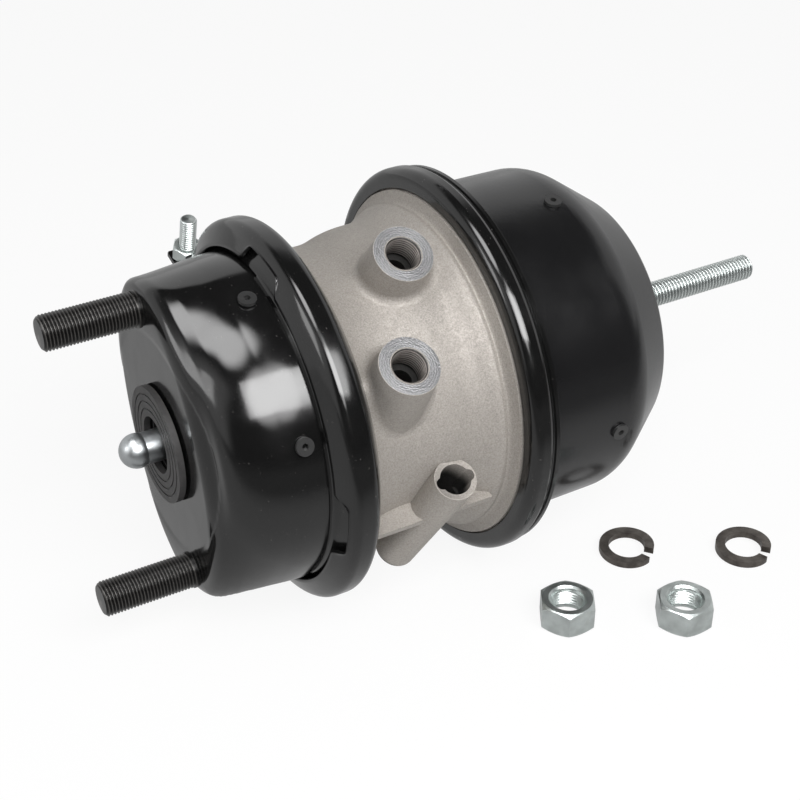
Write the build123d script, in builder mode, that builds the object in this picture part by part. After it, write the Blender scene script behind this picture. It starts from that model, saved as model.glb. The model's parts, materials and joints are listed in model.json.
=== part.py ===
from build123d import *
from math import atan, cos, degrees, radians, sin, tan
import os

# Spring brake actuator: a service chamber and a parking chamber on one axis, shown with the power
# spring caged by the release bolt. Millimetres. +X runs along the chamber's axis to the rear, +Z is
# up, and the origin is the middle of the mounting face. Clock angles are counted about the axis
# from +Z towards -Y.

seat_gap = 0.3

# ---- mounting face and studs ----
stud_spacing = 120.65
stud_diameter = 16.0
stud_projection = 41.5
stud_clock = -18.9
stud_head_diameter = 20.0
stud_head_height = 3.0
stud_head_flat = 3.4
stud_knurl_radius = 8.4
stud_hole_clearance = 0.05
stud_tip_chamfer = 1.4

# ---- service housing ----
housing_wall = 3.5
housing_radius = 74.4
shoulder_radius = 72.4
shoulder_round = 22.0
pad_round = 8.0
pad_height = 6.0
pad_half_width = 43.5
pad_half_length = 70.0
pad_flare = 8.0
pad_side = [(0.0, 0.0), (0.12, 0.3), (0.42, 0.62), (0.78, 0.9), (1.0, 1.15), (1.5, 1.6), (2.5, 2.3), (3.8, 3.2)]
pad_edge_round = 2.5
flange_overlap = 1.0
pushrod_opening = 13.5
flange_radius = 84.2
flange_rim = 1.2
flange_slope_start = 77.0
joint_x = 55.0

# ---- rubber ----
diaphragm_thickness = 3.2
diaphragm_rim = 4.0
seal_ring_radius = 26.5
seal_ring_thickness = 3.0
seal_ring_opening = 13.0
seal_groove_depth = 0.5
seal_groove_width = 0.8

service_cup_radius = 72.0
service_disc_radius = 55.5
cup_bend = 1.3
disc_bend = 0.6
boot_wall = 1.6
boot_folds = 6
boot_flange_radius = 19.0
boot_crest = 17.0
boot_root = 10.5
boot_collar = 5.0

# ---- pushrod train ----
ball_radius = 7.8
ball_centre_x = -11.7
rod_radius = 7.2
rod_head_radius = 16.0
rod_head_thickness = 4.0
push_plate_radius = 52.0
push_plate_thickness = 3.5
push_plate_rim = 4.0
plate_rim_round = 2.8
service_disc_x = 81.0
return_wire = 4.0
return_turns = 4.5
return_radius_front = 30.0
return_radius_rear = 44.0

# ---- clamp band ----
band_thickness = 3.0
band_radius = 87.6
band_crown_half = 5.2
band_crown_round = 5.0
band_lip_reach = 5.6
band_lip_radius = 77.4
band_notch_clock = 8.0
band_notch_angle = 26.0
band_notch_reach = 84.1
band_notch_root = 69.6
band_notch_depth = 4.6
band_notch_round = 5.0
band_split_clock = -75.0
band_split = 7.0
lug_thickness = 3.5
lug_width = 15.0
lug_height = 22.0
lug_sink = 0.4
clamp_bolt_diameter = 8.0
clamp_bolt_length = 40.5
clamp_bolt_radius_from_axis = 100.5
clamp_nut_flats = 13.0
clamp_nut_height = 6.8
clamp_head_height = 5.3
clamp_hole_clearance = 0.3

# ---- flange casting ----
cast_wall = 5.0
waist_radius = 68.0
waist_x = 80.0
flare_x = 120.0
flare_rise = 8.4
lip_x = 132.0
lip_step = 6.2
web_x = 88.0
web_thickness = 8.0
hub_radius = 24.0
hub_end_x = 103.0
front_fall_run = 8.5
front_fall_rise = 2.0
crease_run = 3.0
crease_rise = 0.5
band_rise = 1.9
flare_lead = 12.0
flare_lead_drop = 2.4
flare_drop = 0.6
lip_lead = 8.0
lip_lead_rise = 3.0
cavity_mouth_wall = 1.0
cavity_step_run = 3.0
cavity_step_fall = 2.6
cavity_fall_run = 4.0
cavity_fall_rise = 0.6
cavity_neck_run = 10.0
cavity_neck_rise = 1.6
rear_cavity_rise = 0.6
rear_cavity_run = 9.0
rear_cavity_flare = 3.6
foot_recess_radius = 25.0
foot_recess_depth = 5.0
port_clock = 34.0
port_face_height = 84.5
port_face_radius = 13.3
port_thread_radius = 8.0
port_thread_depth = 14.0
port_passage_radius = 5.0
port_base_flare = 3.0
port_base_round = 4.0
port_root_radius = 43.0
service_port_x = 82.8
service_port_offset = 29.6
parking_port_x = 102.6
parking_port_offset = -19.0
pocket_radius = 9.4
pocket_bore_radius = 6.9
pocket_key_length = 17.6
pocket_key_width = 5.4
pocket_mouth = (102.1, -77.8, -6.5)
pocket_end = (88.5, -54.1, -51.2)
pocket_end_cap = 10.0
pocket_end_wall = 3.0
pocket_end_round = 5.0
pocket_key_depth = 12.0
rib_clock = 111.0
rib_thickness = 3.0
rib_radius = 78.0
rib_rear_x = 124.0

# ---- rear joint ----
ring_thickness = 2.8
ring_radius = 92.0
ring_wall = 3.1
ring_front_x = 132.8
ring_rear_x = 146.8
ring_front_round = 5.0
ring_crown_overrun = 1.2
ring_rear_round = 3.6
ring_rim_drop = 1.0
ring_groove_drop = 1.8
ring_groove_half = 0.6
ring_groove_corner = 0.2
ring_rim_edge = 0.5
ring_lip_gap = 1.0
ring_rear_lip = 2.4
rear_flange_radius = ring_radius - ring_wall - seat_gap
rear_flange_front_x = 135.6
parking_joint_x = 138.2
parking_rim = 2.8

# ---- spring housing ----
pot_wall = 3.0
pot_flange_width = 8.8
pot_radius = rear_flange_radius - pot_flange_width
pot_draft = 0.6
pot_end_radius = pot_radius - pot_draft
pot_corner_x = 198.8
pot_corner_round = 21.0
pot_cone_angle = 36.0
pot_end_x = 227.0
pot_end_round = 6.6
pot_hole_radius = 13.5
pot_root_round = 3.0

# ---- parking train ----
parking_disc_x = 164.5
transfer_rod_radius = 10.0
rod_running_clearance = 0.05
bush_wall = 2.2
seal_places = (0.3, 0.7)
bush_groove_width = 2.0
bush_groove_depth = 1.2
rod_seal_width = 1.8
rod_seal_height = 0.9
rod_foot_radius = 21.0
rod_foot_thickness = 4.0
rod_foot_round = 1.2
screw_radius = 3.0
screw_head_radius = 5.0
screw_head_height = 2.4
screw_length = 16.0
foot_gap = 4.0
rod_plate_radius = 48.0
rod_plate_thickness = 3.5
transfer_wire = 3.5
transfer_turns = 3.5
transfer_radius_front = 28.0
transfer_radius_rear = 40.0
pressure_plate_gap = 19.8
pressure_plate_radius = pot_radius - pressure_plate_gap
parking_cup_gap = 4.8
parking_cup_radius = pot_radius - parking_cup_gap
parking_disc_edge = 1.0
parking_disc_radius = pressure_plate_radius + parking_disc_edge
pressure_plate_thickness = 4.0
pressure_plate_round = 3.2
hat_radius = 22.0
hat_depth = 14.0
power_wire = 9.5
power_inset = 6.0
power_narrowing = 8.0
power_turns = 3.2
power_radius_plate = pressure_plate_radius - power_inset
power_radius_end = power_radius_plate - power_narrowing

# ---- release bolt ----
release_diameter = 12.7
release_tip_x = 324.0
release_tee_length = 24.0
release_tee_width = 9.0
release_tee_height = 8.0
release_tee_clearance = 1.0
release_tip_chamfer = 1.0
release_washer_radius = 19.0
release_washer_thickness = 3.5
release_nut_flats = 19.0
release_nut_height = 11.0

# ---- loose hardware on the floor ----
floor_z = -ring_radius
nut_flats = 24.0
nut_height = 13.0
nut_bore_radius = 7.2
nut_bore_chamfer = 1.2
nut_face_share = 0.95
nut_corner_angle = 30.0
nut_places = [(151.8, -97.3), (198.6, -123.5)]
washer_inner = 8.7
washer_outer = 13.2
washer_thickness = 3.2
washer_rise = 2.4
washer_places = [(205.0, -70.5), (254.5, -98.0)]
washer_split = 18.0
washer_split_heading = -59.0

# ---- vents ----
service_vent_x = 36.0
service_vent_clocks = [15.0, 68.0, 195.0, 248.0]
service_vent_radius = 4.0
spring_vent_x = 187.5
spring_vent_clocks = [12.5, 97.0, 192.5, 277.0]
spring_vent_radius = 4.0
vent_head_height = 1.4
vent_stem_radius = 2.6
vent_bore_radius = 1.4
vent_fit = 0.02
service_vent_lift = 0.32
spring_vent_lift = 0.15


def out(clock):
    """Unit vector that points straight out from the axis at a clock angle."""
    return Vector(0, -sin(radians(clock)), cos(radians(clock)))


def round_way(clock):
    """Unit vector along the circumference, towards growing clock angles."""
    return Vector(0, -cos(radians(clock)), -sin(radians(clock)))


def out_plane(x, clock, radius, offset=0.0):
    """Plane that faces outwards at a clock angle, at a distance from the axis."""
    centre = Vector(x, 0, 0) + out(clock) * radius + round_way(clock) * offset
    return Plane(origin=centre, x_dir=(1, 0, 0), z_dir=out(clock))


def axial_plane(x, clock=0.0, radius=0.0):
    """Plane that faces the rear, centred at a clock angle and a radius."""
    centre = Vector(x, 0, 0) + out(clock) * radius
    return Plane(origin=centre, x_dir=out(clock), z_dir=(1, 0, 0))


def save(builder, name):
    builder.part.label = name
    export_step(builder.part, f"parts/{name}.step")


os.makedirs("parts", exist_ok=True)

front_flange_x = joint_x - diaphragm_rim / 2
rear_flange_x = joint_x + diaphragm_rim / 2
slope_run = band_lip_reach * (flange_radius - flange_slope_start) / (band_radius - band_lip_radius)

# ---- service housing ----
valley_x = pad_height
shoulder_x = valley_x + shoulder_round


def shell_profile(inset):
    """Outline of the service housing's turned body, moved inwards by the wall."""
    radius = shoulder_radius - inset
    with BuildLine() as outline:
        face = Line((valley_x + inset, 0), (valley_x + inset, shoulder_radius - shoulder_round))
        corner = RadiusArc(face @ 1, (shoulder_x, radius), shoulder_round - inset)
        side = Line(corner @ 1, (front_flange_x, housing_radius - inset))
        Polyline(side @ 1, (front_flange_x, 0), face @ 0)
    return outline


pad_end_x = pad_side[-1][0] * pad_height


def pad_solid(inset):
    """Raised lens-shaped pad with its ends rounded into the shoulder, moved inwards by the wall."""
    with BuildPart() as pad:
        for depth, spread in pad_side:
            with BuildSketch(axial_plane(inset + depth * pad_height, stud_clock)):
                reach = spread * pad_flare - inset
                Ellipse(pad_half_length + reach, pad_half_width + reach)
        loft()
        with BuildSketch(Plane.XY):
            with BuildLine():
                top = Line((inset, 0), (inset, shoulder_radius - pad_round))
                end = RadiusArc(top @ 1, (pad_round, shoulder_radius - inset), pad_round - inset)
                Polyline(
                    end @ 1,
                    (pad_end_x - inset, shoulder_radius - inset),
                    (pad_end_x - inset, 0),
                    top @ 0,
                )
            make_face()
        revolve(axis=Axis.X, mode=Mode.INTERSECT)
    return pad.part


with BuildPart() as service_housing:
    with BuildSketch(Plane.XY):
        add(shell_profile(0.0))
        make_face()
    revolve(axis=Axis.X)
    add(pad_solid(0.0))
    front_edges = service_housing.faces().sort_by(Axis.X)[0].edges()
    fillet(front_edges, pad_edge_round)
    with BuildSketch(Plane.XY):
        with BuildLine():
            Polyline(
                (front_flange_x - flange_rim - slope_run, flange_slope_start),
                (front_flange_x - flange_rim, flange_radius),
                (front_flange_x, flange_radius),
                (front_flange_x, housing_radius - housing_wall),
                (front_flange_x - 2 * housing_wall, housing_radius - housing_wall),
                (front_flange_x - 2 * housing_wall, housing_radius - flange_overlap),
                close=True,
            )
        make_face()
    revolve(axis=Axis.X)
    with BuildSketch(Plane.XY):
        add(shell_profile(housing_wall))
        make_face()
    revolve(axis=Axis.X, mode=Mode.SUBTRACT)
    add(pad_solid(housing_wall), mode=Mode.SUBTRACT)
    with BuildSketch(Plane.YZ):
        Circle(pushrod_opening)
    extrude(amount=front_flange_x, mode=Mode.SUBTRACT)
    for side in (0, 180):
        with BuildSketch(axial_plane(-1, stud_clock + side, stud_spacing / 2)):
            Circle(stud_knurl_radius + stud_hole_clearance)
        extrude(amount=housing_wall + 2, mode=Mode.SUBTRACT)
    for clock in service_vent_clocks:
        with BuildSketch(out_plane(service_vent_x, clock, shoulder_radius - 3 * housing_wall)):
            Circle(vent_stem_radius + vent_fit)
        extrude(amount=6 * housing_wall, mode=Mode.SUBTRACT)
save(service_housing, "service_housing")

# ---- mounting studs ----
for stud_name, side in (("mounting_stud_upper", 0), ("mounting_stud_lower", 180)):
    with BuildPart() as stud:
        with BuildSketch(axial_plane(-stud_projection, stud_clock + side, stud_spacing / 2)):
            Circle(stud_diameter / 2)
        extrude(amount=stud_projection)
        chamfer(stud.edges().sort_by(Axis.X)[0], stud_tip_chamfer)
        with BuildSketch(axial_plane(0, stud_clock + side, stud_spacing / 2)):
            Circle(stud_knurl_radius)
        extrude(amount=housing_wall)
        with BuildSketch(axial_plane(housing_wall, stud_clock + side, stud_spacing / 2)) as head_sketch:
            Circle(stud_head_diameter / 2)
            with Locations((-stud_head_diameter / 2 + stud_head_flat, 0)):
                Rectangle(stud_head_diameter, stud_head_diameter, mode=Mode.INTERSECT)
        extrude(amount=stud_head_height)
    save(stud, stud_name)

# ---- seal ring ----
with BuildPart() as seal_ring:
    with BuildSketch(Plane.XY):
        with Locations((-seal_ring_thickness / 2, (seal_ring_radius + seal_ring_opening) / 2)):
            Rectangle(seal_ring_thickness, seal_ring_radius - seal_ring_opening)
        for place in (0.25, 0.5, 0.75):
            groove_radius = seal_ring_opening + place * (seal_ring_radius - seal_ring_opening)
            with Locations((-seal_ring_thickness, groove_radius)):
                Rectangle(2 * seal_groove_depth, seal_groove_width, mode=Mode.SUBTRACT)
    revolve(axis=Axis.X)
save(seal_ring, "seal_ring")

# ---- pushrod and push plate ----
push_plate_rear_x = service_disc_x
push_plate_front_x = push_plate_rear_x - push_plate_thickness
rod_head_x = push_plate_front_x - rod_head_thickness

with BuildPart() as pushrod:
    with BuildSketch(Plane.XY):
        with BuildLine():
            neck_x = ball_centre_x + (ball_radius**2 - rod_radius**2) ** 0.5
            tip = (ball_centre_x - ball_radius, 0)
            crest = (ball_centre_x, ball_radius)
            ball = ThreePointArc(
                tip,
                (ball_centre_x - ball_radius * cos(radians(45)), ball_radius * sin(radians(45))),
                crest,
            )
            shoulder = RadiusArc(crest, (neck_x, rod_radius), ball_radius)
            Polyline(
                shoulder @ 1,
                (rod_head_x, rod_radius),
                (rod_head_x, rod_head_radius),
                (push_plate_front_x, rod_head_radius),
                (push_plate_front_x, 0),
                tip,
            )
        make_face()
    revolve(axis=Axis.X)
save(pushrod, "pushrod")

with BuildPart() as push_plate:
    with BuildSketch(Plane.XY):
        with BuildLine():
            Polyline(
                (push_plate_front_x, 0),
                (push_plate_front_x, push_plate_radius - push_plate_thickness),
                (push_plate_front_x - push_plate_rim, push_plate_radius - push_plate_thickness),
                (push_plate_front_x - push_plate_rim, push_plate_radius),
                (push_plate_rear_x, push_plate_radius),
                (push_plate_rear_x, 0),
                close=True,
            )
        make_face()
    revolve(axis=Axis.X)
    rear_rim = push_plate.edges().filter_by(GeomType.CIRCLE).group_by(Axis.X)[-1]
    fillet(rear_rim, plate_rim_round)
save(push_plate, "push_plate")

# ---- pushrod boot ----
boot_front_x = housing_wall + seat_gap
boot_rear_x = rod_head_x - seat_gap

with BuildPart() as rod_boot:
    with BuildSketch(Plane.XY):
        with BuildLine():
            pitch = (boot_rear_x - boot_collar - boot_front_x - boot_wall) / boot_folds
            outer = [(boot_front_x, boot_flange_radius), (boot_front_x + boot_wall, boot_flange_radius)]
            inner = [(boot_front_x, pushrod_opening)]
            for fold in range(boot_folds):
                start = boot_front_x + boot_wall + fold * pitch
                outer.append((start, boot_root + boot_wall))
                outer.append((start + pitch / 2, boot_crest))
                inner.append((start, boot_root))
                inner.append((start + pitch / 2, boot_crest - boot_wall))
            outer.append((boot_rear_x - boot_collar, rod_radius + seat_gap + 2 * boot_wall))
            outer.append((boot_rear_x, rod_radius + seat_gap + 2 * boot_wall))
            inner.append((boot_rear_x - boot_collar, rod_radius + seat_gap))
            inner.append((boot_rear_x, rod_radius + seat_gap))
            Polyline(*outer, *reversed(inner), close=True)
        make_face()
    revolve(axis=Axis.X)
save(rod_boot, "rod_boot")


def coil_spring(x_start, x_end, radius_start, radius_end, wire, turns):
    """Conical compression spring whose wire lies between two faces."""
    height = x_end - x_start - wire
    slope = (radius_end - radius_start) / height
    with BuildPart() as coil:
        with BuildLine():
            path = Helix(
                pitch=height / turns,
                height=height,
                radius=radius_start,
                center=(x_start + wire / 2, 0, 0),
                direction=(1, 0, 0),
                cone_angle=degrees(atan(slope)),
            )
        with BuildSketch(Plane(origin=path @ 0, z_dir=path % 0)):
            RegularPolygon(wire / 2, 8)
        sweep(is_frenet=True)
    return coil


# ---- service return spring ----
return_spring = coil_spring(
    housing_wall + seat_gap,
    push_plate_front_x - seat_gap,
    return_radius_front,
    return_radius_rear,
    return_wire,
    return_turns,
)
save(return_spring, "return_spring")


def cup_diaphragm(rim_x, rim_thickness, rim_radius, cup_radius, disc_x, disc_radius, thickness):
    """Moulded diaphragm: a flat rim, a sloping wall and a flat disc, all rearward of the rim."""
    with BuildPart() as diaphragm:
        with BuildSketch(Plane.XY):
            with BuildLine():
                Polyline(
                    (rim_x, rim_radius),
                    (rim_x, cup_radius - thickness * cup_bend),
                    (disc_x, disc_radius - thickness * disc_bend),
                    (disc_x, 0),
                    (disc_x + thickness, 0),
                    (disc_x + thickness, disc_radius),
                    (rim_x + rim_thickness, cup_radius),
                    (rim_x + rim_thickness, rim_radius),
                    close=True,
                )
            make_face()
        revolve(axis=Axis.X)
    return diaphragm


# ---- service diaphragm ----
service_diaphragm = cup_diaphragm(
    front_flange_x,
    diaphragm_rim,
    flange_radius - seat_gap,
    service_cup_radius,
    service_disc_x,
    service_disc_radius,
    diaphragm_thickness,
)
save(service_diaphragm, "service_diaphragm")

# ---- clamp band ----
lip_length = (band_lip_reach**2 + (band_radius - band_lip_radius) ** 2) ** 0.5
lip_out_x = (band_radius - band_lip_radius) / lip_length
lip_out_r = band_lip_reach / lip_length
lip_inner_radius = band_lip_radius - band_thickness * lip_out_r
lip_inner_x = band_crown_half + band_lip_reach - band_thickness * lip_out_x
crown_inner = band_radius - band_thickness
crown_inner_x = lip_inner_x - (crown_inner - lip_inner_radius) * band_lip_reach / (band_radius - band_lip_radius)
lug_offset = band_split / 2
lug_centre = clamp_bolt_radius_from_axis

with BuildPart() as clamp_band:
    with BuildSketch(Plane.XY):
        with BuildLine():
            Polyline(
                (joint_x - band_crown_half - band_lip_reach, band_lip_radius),
                (joint_x - band_crown_half, band_radius),
                (joint_x + band_crown_half, band_radius),
                (joint_x + band_crown_half + band_lip_reach, band_lip_radius),
                (joint_x + lip_inner_x, lip_inner_radius),
                (joint_x + crown_inner_x, crown_inner),
                (joint_x - crown_inner_x, crown_inner),
                (joint_x - lip_inner_x, lip_inner_radius),
                close=True,
            )
        make_face()
    revolve(axis=Axis.X)
    crown_edges = clamp_band.edges().filter_by(GeomType.CIRCLE).group_by(lambda e: round(e.radius, 2))[-1]
    fillet(crown_edges, band_crown_round)
    for quarter in range(4):
        centre_clock = band_notch_clock + 90 * quarter
        with BuildSketch(axial_plane(joint_x - band_crown_half - band_lip_reach - seat_gap, centre_clock)) as notch:
            with BuildLine():
                half = radians(band_notch_angle / 2)
                start = (band_notch_root * cos(half), -band_notch_root * sin(half))
                stop = (start[0], -start[1])
                rim_start = (band_notch_reach * cos(half), -band_notch_reach * sin(half))
                rim_stop = (rim_start[0], -rim_start[1])
                Line(start, rim_start)
                ThreePointArc(rim_start, (band_notch_reach, 0), rim_stop)
                Line(rim_stop, stop)
                Line(stop, start)
            make_face()
            fillet(notch.vertices().sort_by(Axis.X)[-2:], band_notch_round)
        extrude(amount=band_notch_depth, mode=Mode.SUBTRACT)
    with BuildSketch(out_plane(joint_x, band_split_clock, 0)):
        Rectangle(4 * band_crown_half + 3 * band_lip_reach, band_split)
    extrude(amount=2 * band_radius, mode=Mode.SUBTRACT)
    for way in (-1, 1):
        lug_plane = out_plane(
            joint_x, band_split_clock, crown_inner + lug_sink, way * (lug_offset + lug_thickness / 2)
        )
        with BuildSketch(lug_plane):
            Rectangle(lug_width, lug_thickness)
        extrude(amount=lug_height)
    hole_plane = Plane(
        origin=Vector(joint_x, 0, 0) + out(band_split_clock) * lug_centre,
        x_dir=(1, 0, 0),
        z_dir=round_way(band_split_clock),
    )
    with BuildSketch(hole_plane):
        Circle(clamp_bolt_diameter / 2 + clamp_hole_clearance)
    extrude(amount=band_split + lug_thickness + 2, both=True, mode=Mode.SUBTRACT)
save(clamp_band, "clamp_band")


def hexagon_nut(plane, flats, height, bore_radius):
    """Hexagon nut on a plane: corners turned off at both ends and a chamfered bore."""
    corner = flats / 2 / cos(radians(30))
    face_radius = flats / 2 * nut_face_share
    drop = (corner - face_radius) * tan(radians(nut_corner_angle))
    with BuildPart() as form:
        with BuildSketch(Plane.XZ):
            with BuildLine():
                Polyline(
                    (bore_radius, nut_bore_chamfer),
                    (bore_radius + nut_bore_chamfer, 0),
                    (face_radius, 0),
                    (corner, drop),
                    (corner, height - drop),
                    (face_radius, height),
                    (bore_radius + nut_bore_chamfer, height),
                    (bore_radius, height - nut_bore_chamfer),
                    close=True,
                )
            make_face()
        revolve(axis=Axis.Z)
        with BuildSketch(Plane.XY):
            RegularPolygon(flats / 2, 6, major_radius=False)
        extrude(amount=height, mode=Mode.INTERSECT)
    with BuildPart() as nut:
        with Locations(plane.location):
            add(form.part)
    return nut


# ---- clamp bolt and nut ----
nut_side = lug_offset + lug_thickness
bolt_axis_plane = Plane(
    origin=Vector(joint_x, 0, 0) + out(band_split_clock) * lug_centre,
    x_dir=(1, 0, 0),
    z_dir=round_way(band_split_clock),
)
with BuildPart() as clamp_bolt:
    with BuildSketch(bolt_axis_plane.offset(-nut_side - clamp_head_height)):
        RegularPolygon(clamp_nut_flats / 2, 6, major_radius=False)
    extrude(amount=clamp_head_height)
    with BuildSketch(bolt_axis_plane.offset(-nut_side)):
        Circle(clamp_bolt_diameter / 2)
    extrude(amount=clamp_bolt_length)
save(clamp_bolt, "clamp_bolt")
clamp_nut = hexagon_nut(
    bolt_axis_plane.offset(nut_side), clamp_nut_flats, clamp_nut_height,
    clamp_bolt_diameter / 2 + rod_running_clearance
)
save(clamp_nut, "clamp_nut")

# ---- flange casting ----
hub_front_x = web_x + foot_recess_depth
web_rear_x = web_x + web_thickness
bush_radius = transfer_rod_radius + rod_running_clearance + bush_wall
flange_root_x = rear_flange_x + flange_rim + slope_run
lip_radius = rear_flange_radius - lip_step
flare_radius = lip_radius - flare_rise


def port_plane(x, height, offset):
    """Plane of a port boss, square to the direction that both ports share."""
    return out_plane(x, port_clock, height, offset)


pocket_start = Vector(*pocket_mouth)
pocket_stop = Vector(*pocket_end)
pocket_way = (pocket_start - pocket_stop).normalized()
pocket_run = (pocket_start - pocket_stop).length
pocket_plane = Plane(origin=pocket_stop, x_dir=(1, 0, 0), z_dir=pocket_way)
mouth_plane = Plane(origin=pocket_start, x_dir=round_way(port_clock), z_dir=out(port_clock))

with BuildPart() as pocket_tube:
    with BuildSketch(pocket_plane.offset(-pocket_end_cap)):
        Circle(pocket_radius)
    extrude(amount=pocket_end_cap + pocket_run + 2 * pocket_radius)
    fillet(pocket_tube.edges().sort_by(Axis.Z)[0], pocket_end_round)
    with BuildSketch(mouth_plane):
        Rectangle(4 * pocket_radius, 4 * pocket_radius)
    extrude(amount=4 * pocket_radius, mode=Mode.SUBTRACT)

with BuildPart() as pocket_hollow:
    with BuildSketch(pocket_plane.offset(pocket_end_wall - pocket_end_cap)):
        Circle(pocket_bore_radius)
    extrude(amount=pocket_run + pocket_end_cap + pocket_radius)
    with BuildSketch(pocket_plane.offset(pocket_run - pocket_key_depth)):
        SlotOverall(pocket_key_length, pocket_key_width)
    extrude(amount=pocket_key_depth + pocket_radius)

with BuildPart() as flange_casting:
    with BuildSketch(Plane.XY):
        with BuildLine():
            front = Polyline(
                (rear_flange_x, 0),
                (rear_flange_x, flange_radius),
                (rear_flange_x + flange_rim, flange_radius),
                (flange_root_x, flange_slope_start),
            )
            waist = Spline(
                front @ 1,
                (flange_root_x + front_fall_run, waist_radius + front_fall_rise),
                (waist_x, waist_radius),
                (web_x + crease_run, waist_radius + crease_rise),
                (web_rear_x, waist_radius + band_rise),
                (flare_x - flare_lead, flare_radius - flare_lead_drop),
                (flare_x, flare_radius - flare_drop),
                (flare_x + lip_lead, flare_radius + lip_lead_rise),
                (lip_x, lip_radius),
                tangents=((0.45, -1), (0.25, 1)),
            )
            Polyline(
                waist @ 1,
                (rear_flange_front_x, lip_radius),
                (rear_flange_front_x, rear_flange_radius),
                (parking_joint_x, rear_flange_radius),
                (parking_joint_x, 0),
                (rear_flange_x, 0),
            )
        make_face()
    revolve(axis=Axis.X)
    for x, offset in ((service_port_x, service_port_offset), (parking_port_x, parking_port_offset)):
        with BuildSketch(port_plane(x, port_face_height, offset)):
            Circle(port_face_radius)
        with BuildSketch(port_plane(x, port_root_radius, offset)):
            Circle(port_face_radius + port_base_flare)
        loft()
    boss_roots = flange_casting.edges().filter_by(GeomType.BSPLINE).filter_by(lambda e: e.is_closed)
    fillet(boss_roots, port_base_round)
    rib_front_x = joint_x + band_crown_half + band_lip_reach + seat_gap
    rib_plane = out_plane((rib_front_x + rib_rear_x) / 2, rib_clock, waist_radius - cast_wall / 2)
    with BuildSketch(rib_plane):
        Rectangle(rib_rear_x - rib_front_x, rib_thickness)
    extrude(amount=rib_radius - waist_radius + cast_wall / 2)
    with BuildSketch(Plane.XY):
        with BuildLine():
            Polyline(
                (rear_flange_x, 0),
                (rear_flange_x, flange_slope_start - cavity_mouth_wall),
                (rear_flange_x + cavity_step_run, flange_slope_start - cavity_step_fall),
                (flange_root_x + cavity_fall_run, waist_radius + cavity_fall_rise),
                (flange_root_x + cavity_neck_run, waist_radius - cast_wall + cavity_neck_rise),
                (waist_x, waist_radius - cast_wall),
                (web_x, waist_radius - cast_wall),
                (web_x, foot_recess_radius),
                (hub_front_x, foot_recess_radius),
                (hub_front_x, 0),
                (rear_flange_x, 0),
            )
        make_face()
    revolve(axis=Axis.X, mode=Mode.SUBTRACT)
    with BuildSketch(Plane.XY):
        with BuildLine():
            Polyline(
                (web_rear_x, hub_radius),
                (web_rear_x, waist_radius - cast_wall + rear_cavity_rise),
                (flare_x, flare_radius - cast_wall),
                (flare_x + rear_cavity_run, flare_radius - cast_wall + rear_cavity_flare),
                (parking_joint_x, lip_radius - cast_wall),
                (parking_joint_x, 0),
                (hub_end_x, 0),
                (hub_end_x, hub_radius),
                close=True,
            )
        make_face()
    revolve(axis=Axis.X, mode=Mode.SUBTRACT)
    with BuildSketch(axial_plane(hub_front_x)):
        Circle(bush_radius)
    extrude(amount=hub_end_x - hub_front_x, mode=Mode.SUBTRACT)
    for x, offset in ((service_port_x, service_port_offset), (parking_port_x, parking_port_offset)):
        with BuildSketch(port_plane(x, port_face_height, offset)):
            Circle(port_thread_radius)
        extrude(amount=-port_thread_depth, mode=Mode.SUBTRACT)
        with BuildSketch(port_plane(x, port_face_height, offset)):
            Circle(port_passage_radius)
        extrude(amount=-(port_face_height - waist_radius + 4 * cast_wall), mode=Mode.SUBTRACT)
    add(pocket_tube.part)
    add(pocket_hollow.part, mode=Mode.SUBTRACT)
save(flange_casting, "flange_casting")

# ---- web bush and rod seals ----
with BuildPart() as web_bush:
    with BuildSketch(axial_plane(hub_front_x)):
        Circle(bush_radius)
        Circle(transfer_rod_radius + rod_running_clearance, mode=Mode.SUBTRACT)
    extrude(amount=hub_end_x - hub_front_x)
    for place in seal_places:
        groove_x = hub_front_x + place * (hub_end_x - hub_front_x)
        with BuildSketch(Plane.XY):
            with Locations((groove_x, transfer_rod_radius)):
                Rectangle(bush_groove_width, 2 * bush_groove_depth)
        revolve(axis=Axis.X, mode=Mode.SUBTRACT)
save(web_bush, "web_bush")

with BuildPart() as rod_seals:
    for place in seal_places:
        seal_x = hub_front_x + place * (hub_end_x - hub_front_x)
        with BuildSketch(Plane.XY):
            with Locations((seal_x, transfer_rod_radius + 2 * rod_running_clearance + rod_seal_height / 2)):
                Rectangle(rod_seal_width, rod_seal_height)
        revolve(axis=Axis.X)
save(rod_seals, "rod_seals")

# ---- transfer rod, foot and rod plate ----
disc_rear_x = service_disc_x + diaphragm_thickness
foot_front_x = disc_rear_x + foot_gap
foot_rear_x = foot_front_x + rod_foot_thickness
parking_disc_rear_x = parking_disc_x + diaphragm_thickness
rod_plate_front_x = parking_disc_x - rod_plate_thickness

with BuildPart() as transfer_rod:
    with BuildSketch(axial_plane(foot_rear_x)):
        Circle(transfer_rod_radius)
    extrude(amount=rod_plate_front_x - foot_rear_x)
    with BuildSketch(axial_plane(foot_rear_x)):
        Circle(screw_radius + rod_running_clearance)
    extrude(amount=screw_length, mode=Mode.SUBTRACT)
save(transfer_rod, "transfer_rod")

with BuildPart() as rod_foot:
    with BuildSketch(axial_plane(foot_front_x)):
        Circle(rod_foot_radius)
    extrude(amount=rod_foot_thickness)
    fillet(rod_foot.edges().group_by(Axis.X)[0], rod_foot_round)
    with BuildSketch(axial_plane(foot_front_x)):
        Circle(screw_head_radius + seat_gap)
    extrude(amount=screw_head_height + seat_gap, mode=Mode.SUBTRACT)
    with BuildSketch(axial_plane(foot_front_x)):
        Circle(screw_radius + rod_running_clearance)
    extrude(amount=rod_foot_thickness, mode=Mode.SUBTRACT)
save(rod_foot, "rod_foot")

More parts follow.
